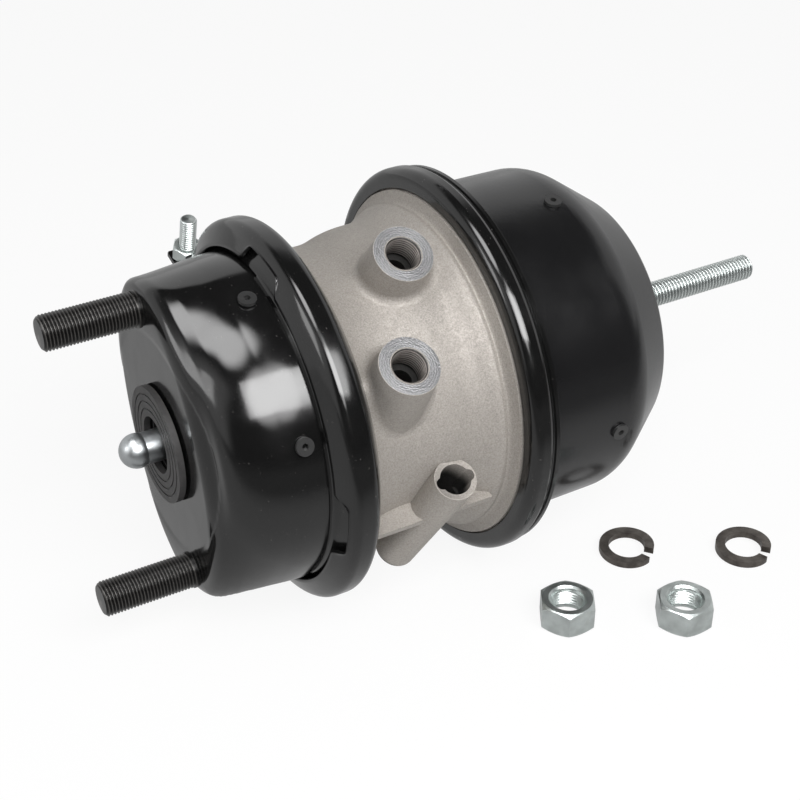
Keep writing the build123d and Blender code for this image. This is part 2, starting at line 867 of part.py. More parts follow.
with BuildPart() as foot_screw:
    with BuildSketch(axial_plane(foot_front_x + seat_gap)):
        Circle(screw_head_radius)
    extrude(amount=screw_head_height)
    with BuildSketch(axial_plane(foot_front_x + seat_gap)):
        Circle(screw_radius)
    extrude(amount=screw_length)
save(foot_screw, "foot_screw")

with BuildPart() as rod_plate:
    with BuildSketch(Plane.XY):
        with BuildLine():
            Polyline(
                (rod_plate_front_x, 0),
                (rod_plate_front_x, rod_plate_radius - rod_plate_thickness),
                (rod_plate_front_x - rod_plate_thickness, rod_plate_radius - rod_plate_thickness),
                (rod_plate_front_x - rod_plate_thickness, rod_plate_radius),
                (parking_disc_x, rod_plate_radius),
                (parking_disc_x, 0),
                close=True,
            )
        make_face()
    revolve(axis=Axis.X)
    rear_rim = rod_plate.edges().filter_by(GeomType.CIRCLE).group_by(Axis.X)[-1]
    fillet(rear_rim, plate_rim_round)
save(rod_plate, "rod_plate")

transfer_spring = coil_spring(
    web_rear_x + seat_gap,
    rod_plate_front_x - seat_gap,
    transfer_radius_front,
    transfer_radius_rear,
    transfer_wire,
    transfer_turns,
)
save(transfer_spring, "transfer_spring")

# ---- parking diaphragm ----
parking_diaphragm = cup_diaphragm(
    parking_joint_x,
    parking_rim,
    rear_flange_radius - seat_gap,
    parking_cup_radius,
    parking_disc_x,
    parking_disc_radius,
    diaphragm_thickness,
)
save(parking_diaphragm, "parking_diaphragm")

# ---- pressure plate with its keyed hat ----
plate_front_x = parking_disc_rear_x
plate_rear_x = plate_front_x + pressure_plate_thickness
hat_top_x = plate_rear_x + hat_depth

with BuildPart() as pressure_plate:
    with BuildSketch(Plane.XY):
        with BuildLine():
            Polyline(
                (plate_front_x, hat_radius - pressure_plate_thickness),
                (plate_front_x, pressure_plate_radius),
                (plate_rear_x, pressure_plate_radius),
                (plate_rear_x, hat_radius),
                (hat_top_x, hat_radius),
                (hat_top_x, 0),
                (hat_top_x - pressure_plate_thickness, 0),
                (hat_top_x - pressure_plate_thickness, hat_radius - pressure_plate_thickness),
                close=True,
            )
        make_face()
    revolve(axis=Axis.X)
    front_rim = pressure_plate.edges().filter_by(GeomType.CIRCLE).filter_by(
        lambda e: abs(e.radius - pressure_plate_radius) < 0.01
    )
    fillet(front_rim.group_by(Axis.X)[0], pressure_plate_round)
    with BuildSketch(axial_plane(hat_top_x)):
        Circle(release_diameter / 2 + release_tee_clearance)
        SlotOverall(
            release_tee_length + 2 * release_tee_clearance, release_tee_width + 2 * release_tee_clearance
        )
    extrude(amount=-pressure_plate_thickness, mode=Mode.SUBTRACT)
save(pressure_plate, "pressure_plate")

# ---- spring housing ----
pot_flange_x = parking_joint_x + parking_rim


def pot_section(inset):
    """Half section of the spring housing's side, corner, cone and flat end, moved inwards by the wall."""
    slope = tan(radians(pot_cone_angle))
    corner = (pot_corner_x - inset * tan(radians(pot_cone_angle / 2)), pot_end_radius - inset)
    end = (pot_end_x - inset, corner[1] - (pot_end_x - inset - corner[0]) * slope)
    with BuildSketch(Plane.XY) as section:
        with BuildLine():
            Polyline(
                (pot_flange_x, pot_radius - inset),
                corner,
                end,
                (pot_end_x - inset, 0),
                (pot_flange_x, 0),
                close=True,
            )
        make_face()
        fillet(section.vertices().sort_by_distance(corner)[0], pot_corner_round - inset)
        fillet(section.vertices().sort_by_distance(end)[0], pot_end_round - inset)
    return section.sketch


with BuildPart() as spring_housing:
    with BuildSketch(Plane.XY):
        add(pot_section(0.0))
    revolve(axis=Axis.X)
    with BuildSketch(axial_plane(pot_flange_x)):
        Circle(rear_flange_radius)
    extrude(amount=pot_wall)
    root = spring_housing.edges().filter_by(GeomType.CIRCLE).filter_by(
        lambda e: abs(e.center().X - pot_flange_x - pot_wall) < 0.01 and e.radius < rear_flange_radius - 1
    )
    fillet(root, pot_root_round)
    with BuildSketch(Plane.XY):
        add(pot_section(pot_wall))
    revolve(axis=Axis.X, mode=Mode.SUBTRACT)
    with BuildSketch(axial_plane(pot_corner_x)):
        Circle(pot_hole_radius)
    extrude(amount=pot_end_x - pot_corner_x, mode=Mode.SUBTRACT)
    for clock in spring_vent_clocks:
        with BuildSketch(out_plane(spring_vent_x, clock, pot_end_radius - 2 * pot_wall)):
            Circle(vent_stem_radius + vent_fit)
        extrude(amount=4 * pot_wall, mode=Mode.SUBTRACT)
save(spring_housing, "spring_housing")

# ---- lock ring ----
ring_crown_x = (ring_front_x + ring_rear_x) / 2 + ring_crown_overrun
ring_groove_x = ring_rear_x - ring_thickness
ring_seat_radius = ring_radius - ring_wall
ring_rim_radius = ring_radius - ring_rim_drop
ring_groove_radius = ring_radius - ring_groove_drop
ring_lip_radius = lip_radius + ring_lip_gap
with BuildPart() as lock_ring:
    with BuildSketch(Plane.XY):
        with BuildLine():
            lip = Line((ring_front_x, ring_lip_radius), (ring_front_x, ring_radius - ring_front_round))
            front_corner = RadiusArc(lip @ 1, (ring_front_x + ring_front_round, ring_radius), ring_front_round)
            crown = Line(front_corner @ 1, (ring_crown_x, ring_radius))
            rear_corner = RadiusArc(
                crown @ 1, (ring_groove_x - ring_groove_half, ring_groove_radius), ring_rear_round
            )
            Polyline(
                rear_corner @ 1,
                (ring_groove_x + ring_groove_corner, ring_groove_radius),
                (ring_groove_x + ring_groove_half, ring_rim_radius),
                (ring_rear_x - ring_rim_edge, ring_rim_radius),
                (ring_rear_x, ring_rim_radius - ring_rim_edge),
                (ring_rear_x, ring_lip_radius + ring_rear_lip),
                (ring_groove_x, ring_lip_radius + ring_rear_lip),
                (ring_groove_x, ring_seat_radius),
                (rear_flange_front_x, ring_seat_radius),
                (rear_flange_front_x, ring_lip_radius),
                (ring_front_x, ring_lip_radius),
            )
        make_face()
    revolve(axis=Axis.X)
save(lock_ring, "lock_ring")

# ---- power spring ----
power_spring = coil_spring(
    plate_rear_x + seat_gap,
    pot_end_x - pot_wall - seat_gap,
    power_radius_plate,
    power_radius_end,
    power_wire,
    power_turns,
)
save(power_spring, "power_spring")

# ---- release bolt, washer and nut ----
tee_rear_x = hat_top_x - pressure_plate_thickness
with BuildPart() as release_bolt:
    with BuildSketch(axial_plane(tee_rear_x - release_tee_height)):
        Circle(release_diameter / 2)
    extrude(amount=release_tip_x - tee_rear_x + release_tee_height)
    chamfer(release_bolt.edges().sort_by(Axis.X)[-1], release_tip_chamfer)
    with BuildSketch(axial_plane(tee_rear_x - release_tee_height)):
        Rectangle(release_tee_width, release_tee_length)
    extrude(amount=release_tee_height)
save(release_bolt, "release_bolt")

with BuildPart() as release_washer:
    with BuildSketch(axial_plane(pot_end_x)):
        Circle(release_washer_radius)
        Circle(release_diameter / 2 + seat_gap, mode=Mode.SUBTRACT)
    extrude(amount=release_washer_thickness)
save(release_washer, "release_washer")

release_nut = hexagon_nut(
    axial_plane(pot_end_x + release_washer_thickness), release_nut_flats, release_nut_height,
    release_diameter / 2 + rod_running_clearance
)
save(release_nut, "release_nut")

# ---- vent plugs ----


def vent_plugs(x, clocks, surface, wall, head_radius):
    """One bored plug for each vent hole, its head on the outside of the shell."""
    with BuildPart() as plugs:
        for clock in clocks:
            with BuildSketch(out_plane(x, clock, surface)):
                Circle(head_radius)
            extrude(amount=vent_head_height)
            with BuildSketch(out_plane(x, clock, surface - wall)):
                Circle(vent_stem_radius)
            extrude(amount=wall)
        for clock in clocks:
            with BuildSketch(out_plane(x, clock, surface - wall)):
                Circle(vent_bore_radius)
            extrude(amount=wall + vent_head_height, mode=Mode.SUBTRACT)
    return plugs


vent_rise = (service_vent_x - shoulder_x) / (front_flange_x - shoulder_x)
service_surface = shoulder_radius + vent_rise * (housing_radius - shoulder_radius) + service_vent_lift
service_vent_plugs = vent_plugs(
    service_vent_x, service_vent_clocks, service_surface, housing_wall, service_vent_radius
)
save(service_vent_plugs, "service_vent_plugs")

pot_taper = (spring_vent_x - pot_flange_x) / (pot_corner_x - pot_flange_x)
spring_surface = pot_radius + pot_taper * (pot_end_radius - pot_radius) + spring_vent_lift
spring_vent_plugs = vent_plugs(
    spring_vent_x, spring_vent_clocks, spring_surface, pot_wall, spring_vent_radius
)
save(spring_vent_plugs, "spring_vent_plugs")

# ---- loose nuts and spring washers ----
for number, (x, y) in enumerate(nut_places, start=1):
    loose_nut = hexagon_nut(
        Plane(origin=(x, y, floor_z), z_dir=(0, 0, 1)), nut_flats, nut_height, nut_bore_radius
    )
    save(loose_nut, f"mounting_nut_{number}")

washer_middle = (washer_inner + washer_outer) / 2
with BuildPart() as washer_form:
    with BuildLine():
        washer_path = Helix(
            pitch=washer_rise * 360 / (360 - washer_split),
            height=washer_rise,
            radius=washer_middle,
            center=(0, 0, washer_thickness / 2),
            lefthand=True,
        )
    with BuildSketch(Plane(origin=washer_path @ 0, x_dir=(1, 0, 0), z_dir=washer_path % 0)):
        Rectangle(washer_outer - washer_inner, washer_thickness)
    sweep(is_frenet=True)

for number, (x, y) in enumerate(washer_places, start=1):
    with BuildPart() as spring_washer:
        with Locations(Location((x, y, floor_z), (0, 0, washer_split_heading - washer_split / 2))):
            add(washer_form.part)
    save(spring_washer, f"spring_washer_{number}")
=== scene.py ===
"""Air brake chamber: threads, nuts, pressings, soft pieces and finishes around its CAD frame."""

import json
import math

import bmesh
import bpy
from bpy.props import FloatProperty, FloatVectorProperty, IntProperty, PointerProperty
from mathutils import Matrix, Vector


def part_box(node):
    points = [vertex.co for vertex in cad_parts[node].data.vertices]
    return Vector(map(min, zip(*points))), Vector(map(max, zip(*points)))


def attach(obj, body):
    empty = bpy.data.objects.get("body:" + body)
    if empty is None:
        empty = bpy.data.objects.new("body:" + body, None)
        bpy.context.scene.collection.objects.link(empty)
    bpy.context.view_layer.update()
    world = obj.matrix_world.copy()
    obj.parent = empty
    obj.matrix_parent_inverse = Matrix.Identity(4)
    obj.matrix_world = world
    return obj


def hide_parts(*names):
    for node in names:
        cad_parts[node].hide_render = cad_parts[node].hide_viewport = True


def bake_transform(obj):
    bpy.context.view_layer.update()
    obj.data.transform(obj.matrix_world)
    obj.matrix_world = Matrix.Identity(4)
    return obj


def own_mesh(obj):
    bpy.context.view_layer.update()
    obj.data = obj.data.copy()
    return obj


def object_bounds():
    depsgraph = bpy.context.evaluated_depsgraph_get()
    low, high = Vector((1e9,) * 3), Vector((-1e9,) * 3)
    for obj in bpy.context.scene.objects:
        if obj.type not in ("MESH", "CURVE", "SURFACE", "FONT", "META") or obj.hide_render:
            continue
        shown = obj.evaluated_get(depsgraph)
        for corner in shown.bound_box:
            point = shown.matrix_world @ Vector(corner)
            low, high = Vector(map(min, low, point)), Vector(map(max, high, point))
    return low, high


bl_info = {
    "name": "Air Brake Chamber",
    "version": (1, 0, 0),
    "blender": (4, 5, 0),
    "location": "View3D > Sidebar > Brake Chamber",
    "description": "Threads, nuts, machined faces and finishes of a spring brake chamber",
    "category": "Object",
}

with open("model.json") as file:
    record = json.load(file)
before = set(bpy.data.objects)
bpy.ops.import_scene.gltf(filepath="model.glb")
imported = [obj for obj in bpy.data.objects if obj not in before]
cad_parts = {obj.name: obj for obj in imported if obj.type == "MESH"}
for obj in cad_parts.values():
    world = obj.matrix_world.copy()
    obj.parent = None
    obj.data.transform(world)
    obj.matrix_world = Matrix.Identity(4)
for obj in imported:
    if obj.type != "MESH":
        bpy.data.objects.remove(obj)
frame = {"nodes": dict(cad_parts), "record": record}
NODES = frame["nodes"]
CAD_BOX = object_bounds()
MOUNTS = {mount["name"]: mount for mount in frame["record"]["mounts"]}
PORTS = {"service": "service_port", "parking": "parking_port"}
MM = 0.001

# Lengths are in millimetres and angles in degrees, unless a comment says otherwise. Clock angles run about
# the chamber's axis, from +Z towards -Y.

# Threads. A flank steeper than 1 leaves flats at the crest and the root.
THREAD_FLANK = 1.25
FEWEST_RINGS = 4
STUD_CLOCK = -18.9
STUD_TIP_CHAMFER = 1.4

# Nuts: (across flats, bore radius, thread depth). Their chamfer starts at a share of the flats.
LOOSE_NUT = (24.0, 7.1, 0.8)
CAGING_NUT = (19.0, 5.45, 0.9)
NUT_STEPS = 180
NUT_CHAMFER_START = 0.955
NUT_CHAMFER = 30.0
NUT_RINGS = 8
NUT_FADE = 4.0
NUT_COUNTERSINK = 2.2
NUT_CENTRE = 1e-4
NUT_MERGE = 1e-5

# Caging bolt, with its plain inner end and tee head
CAGING_RADIUS = 6.35
CAGING_START = 212.0
CAGING_OVERLAP = 1.0
CAGING_CHAMFER = 1.2
TEE = (8.0, 24.0, 9.0)
BAR_STEPS = 72
BAR_CENTRE = 0.001
BAR_MERGE = 0.01

# Clamp bolt. CLAMP_BOLT is its (radius, length), and CLAMP_BORE its nut's (bore radius, thread depth).
CLAMP_CLOCK = -75.0
CLAMP_X = 55.0
CLAMP_AXIS = 100.5
CLAMP_SEAT = 7.0
CLAMP_BOLT = (4.0, 37.0)
CLAMP_CHAMFER = 0.8
CLAMP_HEX = 13.0
CLAMP_HEAD = 5.3
CLAMP_NUT = 6.8
CLAMP_BORE = (3.4, 0.6)
CLAMP_STEPS = 96

# Ports. The face's points are (radius, height) from its outer edge and from its bore, at the mouth.
PORT_FACE = 13.3
FACE_OUTSIDE = ((-0.2, -1.7), (-0.2, -0.4), (-0.25, 0.06), (-0.4, 0.12))
FACE_INSIDE = ((0.5, 0.12), (-0.1, -0.6), (-0.1, -1.7))
FACE_STEPS = 128
THREAD_START = 0.5
THREAD_SHORT = 1.5
THREAD_CLEAR = 0.02

# Painted shade inside the casting's openings: (mount, radius, depth beyond the mount), and how the painted
# shade deepens.
SHADED_HOLLOWS = (("service_port", 8.3, 8.0), ("parking_port", 8.3, 8.0), ("release_bolt_pocket", 9.0, 0.5))
HOLLOW_SHADE_FADE = ((-9.0, 1.0), (-0.3, 0.0))
HOLLOW_SHADE_LEVEL = 0.03
# Painted shade deep inside the ports' threads
DEEP_THREAD_SHADE = 0.25

# Service housing: a lens-shaped pad that runs through a valley into the shoulder of a turned shell.
# PAD_SIDE is (depth, spread), SHOULDER (radius, pad round, edge round), BULGE (crest, round in radius and in
# depth), VALLEY (depth, from radius, to radius), HOUSING (wall radius, depth) and FLANGE (foot, rim, edge).
WALL = 3.5
OPENING = 13.5
PAD_HALF = (70.0, 43.5)
PAD_HEIGHT = 6.0
PAD_EDGE = 3.5
PAD_BLEND = 8.0
PAD_SIDE = ((0.0, 0.0), (2.0, 1.8), (4.0, 3.4), (7.0, 5.2), (12.0, 6.6), (22.8, 7.6))
SHOULDER = (72.4, 22.0, 8.0)
BULGE = (4.2, 21.0, 36.0)
VALLEY = (4.2, 44.0, 59.0)
HOUSING = (74.4, 53.0)
FLANGE = (77.0, 84.2, 1.2)
WALL_BEND = ((-4.0, -0.1), (-1.6, 0.5))
FLARE_FOOT = (-0.3, -0.4)
RIM_ROUND = 0.3

# Rays from inside the housing that find its skin. RAY_LAST is the last one's angle.
RAY_FROM = 36.0
RAY_START = 95.0
RAY_LAST = 97.0
RAY_ROWS = 128
RAY_TRIES = 40
RAY_STRIDE = 0.9
RAY_NEAR = 0.002
SKIN_STEPS = 240

# Clamp band: its section from crown to lip, its notches, and its lugs as (thick, wide, tall).
BAND_CREST = 87.6
BAND_LIP = 77.4
BAND_HALF = 5.2
BAND_REACH = 5.6
BAND_WALL = 3.0
BAND_STEPS = 720
CROWN_FLAT = 0.45
CROWN_INSIDE = (1.4, 1.2)
BEND_BEFORE = 2.9
BEND_AFTER = 4.0
BEND_STEPS = 8
LIP_STEPS = 5
LIP_ROUND = ((-0.3, -0.5), (-1.2, -0.9), (-2.3, -0.7), (-2.8, 0.0))
NOTCH_CLOCK = 8.0
NOTCH_SPACING = 90.0
NOTCH_HALF = 13.0
NOTCH_RISE = 6.7
NOTCH_EASE = 5.0
NOTCH_FLARE = 0.9
LUG = (3.5, 15.0, 22.0)
LUG_EDGE = 0.6
LUG_RISE = 0.4

# Pieces that change shape: those that flatten with the service stroke, and those that stretch from the
# chamber to a body: (node, body, start and end along the chamber's axis). MERGE is in metres.
FLATTENED = ("rod_boot", "return_spring")
STRETCHED = (
    ("service_diaphragm", "pushrod", 57.0, 81.0),
    ("transfer_spring", "parking_piston", 97.0, 159.5),
    ("parking_diaphragm", "parking_piston", 142.0, 164.5),
    ("power_spring", "parking_piston", 223.0, 172.7),
)
SHARP_EDGE = 40.0
MERGE = 1e-6

# Threaded finishes: (colours from root to crest, metallic, roughness). The crests are painted lighter and the
# roots darker, as painted highlight and shade. The ports' tapped threads have colours only, lightest on their
# crests and darkest in their roots, as painted highlight and shade.
OXIDE_PAINTED_LIGHT = (((0.15, (0.004, 0.004, 0.004)), (0.75, (0.035, 0.033, 0.031)), (1.0, (0.12, 0.115, 0.11))), 0.5, 0.3)
PLATED_PAINTED_LIGHT = (((0.1, (0.14, 0.15, 0.15)), (0.6, (0.50, 0.54, 0.53)), (1.0, (0.78, 0.82, 0.81))), 0.8, 0.35)
TAPPED_PAINTED_LIGHT = ((0.1, (0.5, 0.46, 0.43)), (0.6, (0.06, 0.05, 0.045)), (1.0, (0.02, 0.018, 0.016)))

# Stage, in metres. Stops are (place, level), and a soft card is (direction, stops).
FILL = 0.24
FLOOR_HALF = 6.0
FLOOR_GAP = 0.0002
FLOOR_WHITE = 0.9
FLOOR_SHEEN = 0.55
FLOOR_DARK_FRONT = ((-0.34, 0.08), (-0.16, 1.0))
WORLD_DARK_FRONT = ((-0.5, 0.03), (-0.25, 1.0))
WORLD_DARK_TOP = ((0.62, 1.0), (0.8, 0.05))
SOFT_CARDS = (
    ((-0.30, -0.02, 0.95), ((0.945, 0.0), (0.985, 10.0))),
    ((-0.10, -0.70, 0.71), ((0.925, 0.0), (0.965, 7.0))),
)
# Lamps: (name, place, aim, size, watts)
LAMPS = (
    ("key", (0.0, -0.78, 0.8), (0.08, 0, 0), (1.05, 0.52), 14.0),
    ("left", (-0.95, 0.1, 0.5), (0.05, 0, 0), (0.4, 0.4), 2.0),
)
CAMERA_PLACE = (-0.1891, -0.5462, 0.3993)
CAMERA_RIGHT = (0.8712, -0.4909, 0.0)
CAMERA_DOWN = (-0.2712, -0.4813, -0.8336)
CAMERA_FORWARD = (0.4092, 0.7262, -0.5524)
CAMERA_LENS = 72.0
CAMERA_SENSOR = 36.0
CAMERA_CLIP = (0.01, 50.0)


# ---------------- sizes and colours


class ThreadSizes(bpy.types.PropertyGroup):
    """Pitches and depths of the threads, in metres, and how finely they are made"""

    stud_pitch: FloatProperty(
        name="Stud pitch", description="Crest to crest", default=1.5 * MM, unit="LENGTH"
    )
    stud_depth: FloatProperty(
        name="Stud thread depth", description="Crest to root", default=0.85 * MM, unit="LENGTH"
    )
    release_pitch: FloatProperty(
        name="Caging bolt pitch", description="Crest to crest", default=1.954 * MM, unit="LENGTH"
    )
    release_depth: FloatProperty(
        name="Caging bolt thread depth", description="Crest to root", default=1.05 * MM, unit="LENGTH"
    )
    clamp_pitch: FloatProperty(
        name="Clamp bolt pitch", description="Crest to crest", default=1.25 * MM, unit="LENGTH"
    )
    clamp_depth: FloatProperty(
        name="Clamp bolt thread depth", description="Crest to root", default=0.7 * MM, unit="LENGTH"
    )
    port_depth: FloatProperty(
        name="Port thread depth", description="Crest to root", default=0.75 * MM, unit="LENGTH"
    )
    sides: IntProperty(
        name="Thread sides", description="Facets round each thread", default=72, min=24, max=160
    )
    rings_per_turn: IntProperty(
        name="Rings per turn", description="Rings of the mesh in one pitch", default=8, min=4, max=16
    )


class PaintColours(bpy.types.PropertyGroup):
    """Colours of the main finishes and of the floor"""

    gloss_black: FloatVectorProperty(
        name="Gloss black",
        description="Paint of the pressings",
        subtype="COLOR",
        default=(0.006, 0.006, 0.006),
    )
    satin_black: FloatVectorProperty(
        name="Satin black",
        description="Paint of the spring housing",
        subtype="COLOR",
        default=(0.009, 0.009, 0.0095),
    )
    casting: FloatVectorProperty(
        name="Casting",
        description="Sand-textured aluminium",
        subtype="COLOR",
        default=(0.35, 0.325, 0.298),
    )
    zinc: FloatVectorProperty(
        name="Zinc", description="Zinc plating", subtype="COLOR", default=(0.54, 0.58, 0.57)
    )
    floor: FloatVectorProperty(
        name="Floor", description="Floor and backdrop", subtype="COLOR", default=(0.94, 0.94, 0.94)
    )


# ---------------- placing


def out(clock):
    """Unit vector straight out from the chamber's axis at a clock angle, from +Z towards -Y."""
    a = math.radians(clock)
    return Vector((0, -math.sin(a), math.cos(a)))


def round_way(clock):
    """Unit vector along the circumference, towards growing clock angles."""
    a = math.radians(clock)
    return Vector((0, -math.cos(a), -math.sin(a)))


def mouth_of(mount):
    """Outer end of a round mount in millimetres, and the direction that it faces."""
    centre, way = Vector(MOUNTS[mount]["pos_m"]) / MM, Vector(MOUNTS[mount]["axis"])
    return centre + way * MOUNTS[mount]["dims"]["length_mm"] / 2, way


def stand_on(origin_mm, direction, across=None):
    """Matrix that puts a piece made along +Z at a place, pointing along a direction."""
    z = Vector(direction).normalized()
    x = Vector(across) if across is not None else z.orthogonal()
    x = (x - z * x.dot(z)).normalized()
    y = z.cross(x)
    m = Matrix((x, y, z)).transposed().to_4x4()
    m.translation = Vector(origin_mm) * MM
    return m


def new_object(name, data):
    """New object in the scene."""
    obj = bpy.data.objects.new(name, data)
    bpy.context.scene.collection.objects.link(obj)
    return obj


def add_piece(name, mesh, material, body, *nodes):
    """Object for a finished mesh, riding on a body and standing for CAD nodes."""
    obj = new_object(name, mesh)
    mesh.materials.clear()
    mesh.materials.append(material)
    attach(obj, body)
    if nodes:
        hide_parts(*nodes)
        slot_of(nodes[0])
    return obj


def slot_of(node):
    """Material slot that the record gives a CAD node."""
    for part in frame["record"]["subparts"]:
        if part["node"] == node:
            return part["material_slot"]
    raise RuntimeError("no material slot for " + node)


# ---------------- materials


def joined(tree, operation, a, b=0.0, clamp=False):
    """Result of a math node on two sockets or numbers."""
    n = tree.nodes.new("ShaderNodeMath")
    n.operation = operation
    n.use_clamp = clamp
    for socket, value in zip(n.inputs, (a, b)):
        if isinstance(value, (int, float)):
            socket.default_value = value
        else:
            tree.links.new(value, socket)
    return n.outputs[0]


def split(tree, vector):
    """X, Y and Z of a vector socket."""
    n = tree.nodes.new("ShaderNodeSeparateXYZ")
    tree.links.new(vector, n.inputs[0])
    return n.outputs


def graded(tree, value, stops):
    """Level that runs smoothly between two stops of (place, level) along a value."""
    (start, first), (end, last) = stops
    n = tree.nodes.new("ShaderNodeMapRange")
    n.interpolation_type = "SMOOTHSTEP"
    for name, number in {"From Min": start, "From Max": end, "To Min": first, "To Max": last}.items():
        n.inputs[name].default_value = number
    tree.links.new(value, n.inputs["Value"])
    return n.outputs["Result"]


def thread_ridge(tree, x, y, z, pitch):
    """Height of a right-hand thread round the Z axis, from 0 at its root to 1 at its crest."""
    turn = joined(tree, "DIVIDE", joined(tree, "ARCTAN2", y, x), math.tau)
    phase = joined(tree, "FRACT", joined(tree, "SUBTRACT", joined(tree, "DIVIDE", z, pitch), turn))
    return joined(tree, "ABSOLUTE", joined(tree, "SUBTRACT", joined(tree, "MULTIPLY", phase, 2.0), 1.0))


class Shader:
    """Strings shader nodes together for one finish. Its plain values have underscores for spaces."""

    def __init__(self, name, **values):
        self.mat = bpy.data.materials.new(name)
        self.mat.use_nodes = True
        self.tree = self.mat.node_tree
        self.bsdf = self.tree.nodes["Principled BSDF"]
        self.coords = self.tree.nodes.new("ShaderNodeTexCoord").outputs["Object"]
        for key, value in values.items():
            socket = self.bsdf.inputs[key.replace("_", " ")]
            socket.default_value = (*value, 1.0) if isinstance(value, tuple) else value

    def node(self, kind, **values):
        """New node of a kind with its own settings."""
        n = self.tree.nodes.new(kind)
        for key, value in values.items():
            setattr(n, key, value)
        return n

    def link(self, start, end):
        """Link from an output to an input."""
        self.tree.links.new(start, end)

    def noise(self, scale, detail=3.0, rough=0.5):
        """Noise from 0 to 1 in the object's own coordinates."""
        n = self.node("ShaderNodeTexNoise")
        n.inputs["Scale"].default_value = scale
        n.inputs["Detail"].default_value = detail
        n.inputs["Roughness"].default_value = rough
        self.link(self.coords, n.inputs["Vector"])
        return n.outputs["Fac"]

    def ramp(self, fac, stops):
        """Colour ramp over stops of (position, colour or grey level)."""
        n = self.node("ShaderNodeValToRGB")
        while len(n.color_ramp.elements) < len(stops):
            n.color_ramp.elements.new(0.5)
        for element, (position, colour) in zip(n.color_ramp.elements, stops):
            element.position = position
            element.color = (*colour, 1.0) if isinstance(colour, tuple) else (colour, colour, colour, 1.0)
        self.link(fac, n.inputs["Fac"])
        return n.outputs["Color"]

    def colour(self, fac, stops):
        """Base colour from a ramp."""
        self.link(self.ramp(fac, stops), self.bsdf.inputs["Base Color"])

    def roughness(self, fac, low, high):
        """Roughness that swings between two values."""
        self.link(self.ramp(fac, [(0.3, low), (0.7, high)]), self.bsdf.inputs["Roughness"])

    def bump(self, fac, distance, strength):
        """Bump in metres, on top of the bumps already there."""
        n = self.node("ShaderNodeBump")
        n.inputs["Strength"].default_value = strength
        n.inputs["Distance"].default_value = distance
        self.link(fac, n.inputs["Height"])
        previous = self.bsdf.inputs["Normal"].links
        if previous:
            self.link(previous[0].from_socket, n.inputs["Normal"])
        self.link(n.outputs["Normal"], self.bsdf.inputs["Normal"])

    def local(self, origin, direction):
        """Coordinates in a frame that stands at a place in millimetres and points along a direction."""
        mapping = self.node("ShaderNodeMapping", vector_type="TEXTURE")
        turn = stand_on(origin, direction)
        mapping.inputs["Location"].default_value = turn.translation
        mapping.inputs["Rotation"].default_value = turn.to_euler()
        self.link(self.coords, mapping.inputs["Vector"])
        return mapping.outputs["Vector"]

    def maths(self, operation, a, b=0.0):
        """Result of a math node on two sockets or numbers."""
        return joined(self.tree, operation, a, b)

    def thread(self, middle, direction, pitch):
        """Height of a thread from root to crest, and the place along its axis."""
        x, y, z = split(self.tree, self.local(middle, direction))
        return thread_ridge(self.tree, x, y, z, pitch), z

    def paint_shade(self, share, low):
        """Paints shade: dims the base colour by a share towards a low factor."""
        n = self.node("ShaderNodeMix", data_type="RGBA", blend_type="MULTIPLY")
        given = self.bsdf.inputs["Base Color"].links[0].from_socket
        self.link(share, n.inputs["Factor"])
        a, b = (socket for socket in n.inputs if socket.type == "RGBA")
        self.link(given, a)
        b.default_value = (low, low, low, 1)
        result = next(socket for socket in n.outputs if socket.type == "RGBA")
        self.link(result, self.bsdf.inputs["Base Color"])


def painted(name):
    """Colour that the panel gives for a finish."""
    return tuple(getattr(bpy.context.scene.brake_paint, name))


def shade(colour, factor):
    """Colour made darker or brighter by a factor."""
    return tuple(min(1.0, c * factor) for c in colour)


def gloss_black_paint():
    """Glossy paint of the service housing, the clamp band and the lock ring, with specks of dust."""
    s = Shader("gloss_black_paint", IOR=1.55)
    s.colour(s.noise(900, 2, 0.4), [(0.72, painted("gloss_black")), (0.76, (0.05, 0.047, 0.045))])
    s.roughness(s.noise(60, 4), 0.08, 0.2)
    s.bump(s.noise(38, 2), 0.0008, 0.3)
    return s.mat


def satin_black_paint():
    """Satin paint of the spring housing."""
    s = Shader("satin_black_paint", Base_Color=painted("satin_black"))
    s.roughness(s.noise(40, 4), 0.14, 0.26)
    s.bump(s.noise(700, 3), 0.0002, 0.25)
    return s.mat


def sand_cast_aluminium():
    """Grainy aluminium of the flange casting, with painted shade inside its openings."""
    c = painted("casting")
    s = Shader("sand_cast_aluminium", Metallic=0.35)
    s.colour(s.noise(1400, 2, 0.7), [(0.3, shade(c, 0.78)), (0.5, c), (0.72, shade(c, 1.2))])
    s.roughness(s.noise(500, 3), 0.5, 0.72)
    s.bump(s.noise(1500, 3, 0.65), 0.00025, 0.8)
    s.bump(s.noise(90, 2), 0.0006, 0.35)
    # Painted shade: the colour is dimmed inside the ports and the release bolt's pocket, more the deeper it
    # lies.
    hollow = None
    for mount, reach, beyond in SHADED_HOLLOWS:
        x, y, z = split(s.tree, s.local(*mouth_of(mount)))
        r = s.maths("SQRT", s.maths("ADD", s.maths("MULTIPLY", x, x), s.maths("MULTIPLY", y, y)))
        near = s.maths("LESS_THAN", r, reach * MM)
        bottom = -(MOUNTS[mount]["dims"]["length_mm"] + beyond) * MM
        near = s.maths("MULTIPLY", near, s.maths("GREATER_THAN", z, bottom))
        deep = graded(s.tree, z, [(place * MM, level) for place, level in HOLLOW_SHADE_FADE])
        share = s.maths("MULTIPLY", near, deep)
        hollow = share if hollow is None else s.maths("MAXIMUM", hollow, share)
    s.paint_shade(hollow, HOLLOW_SHADE_LEVEL)
    return s.mat


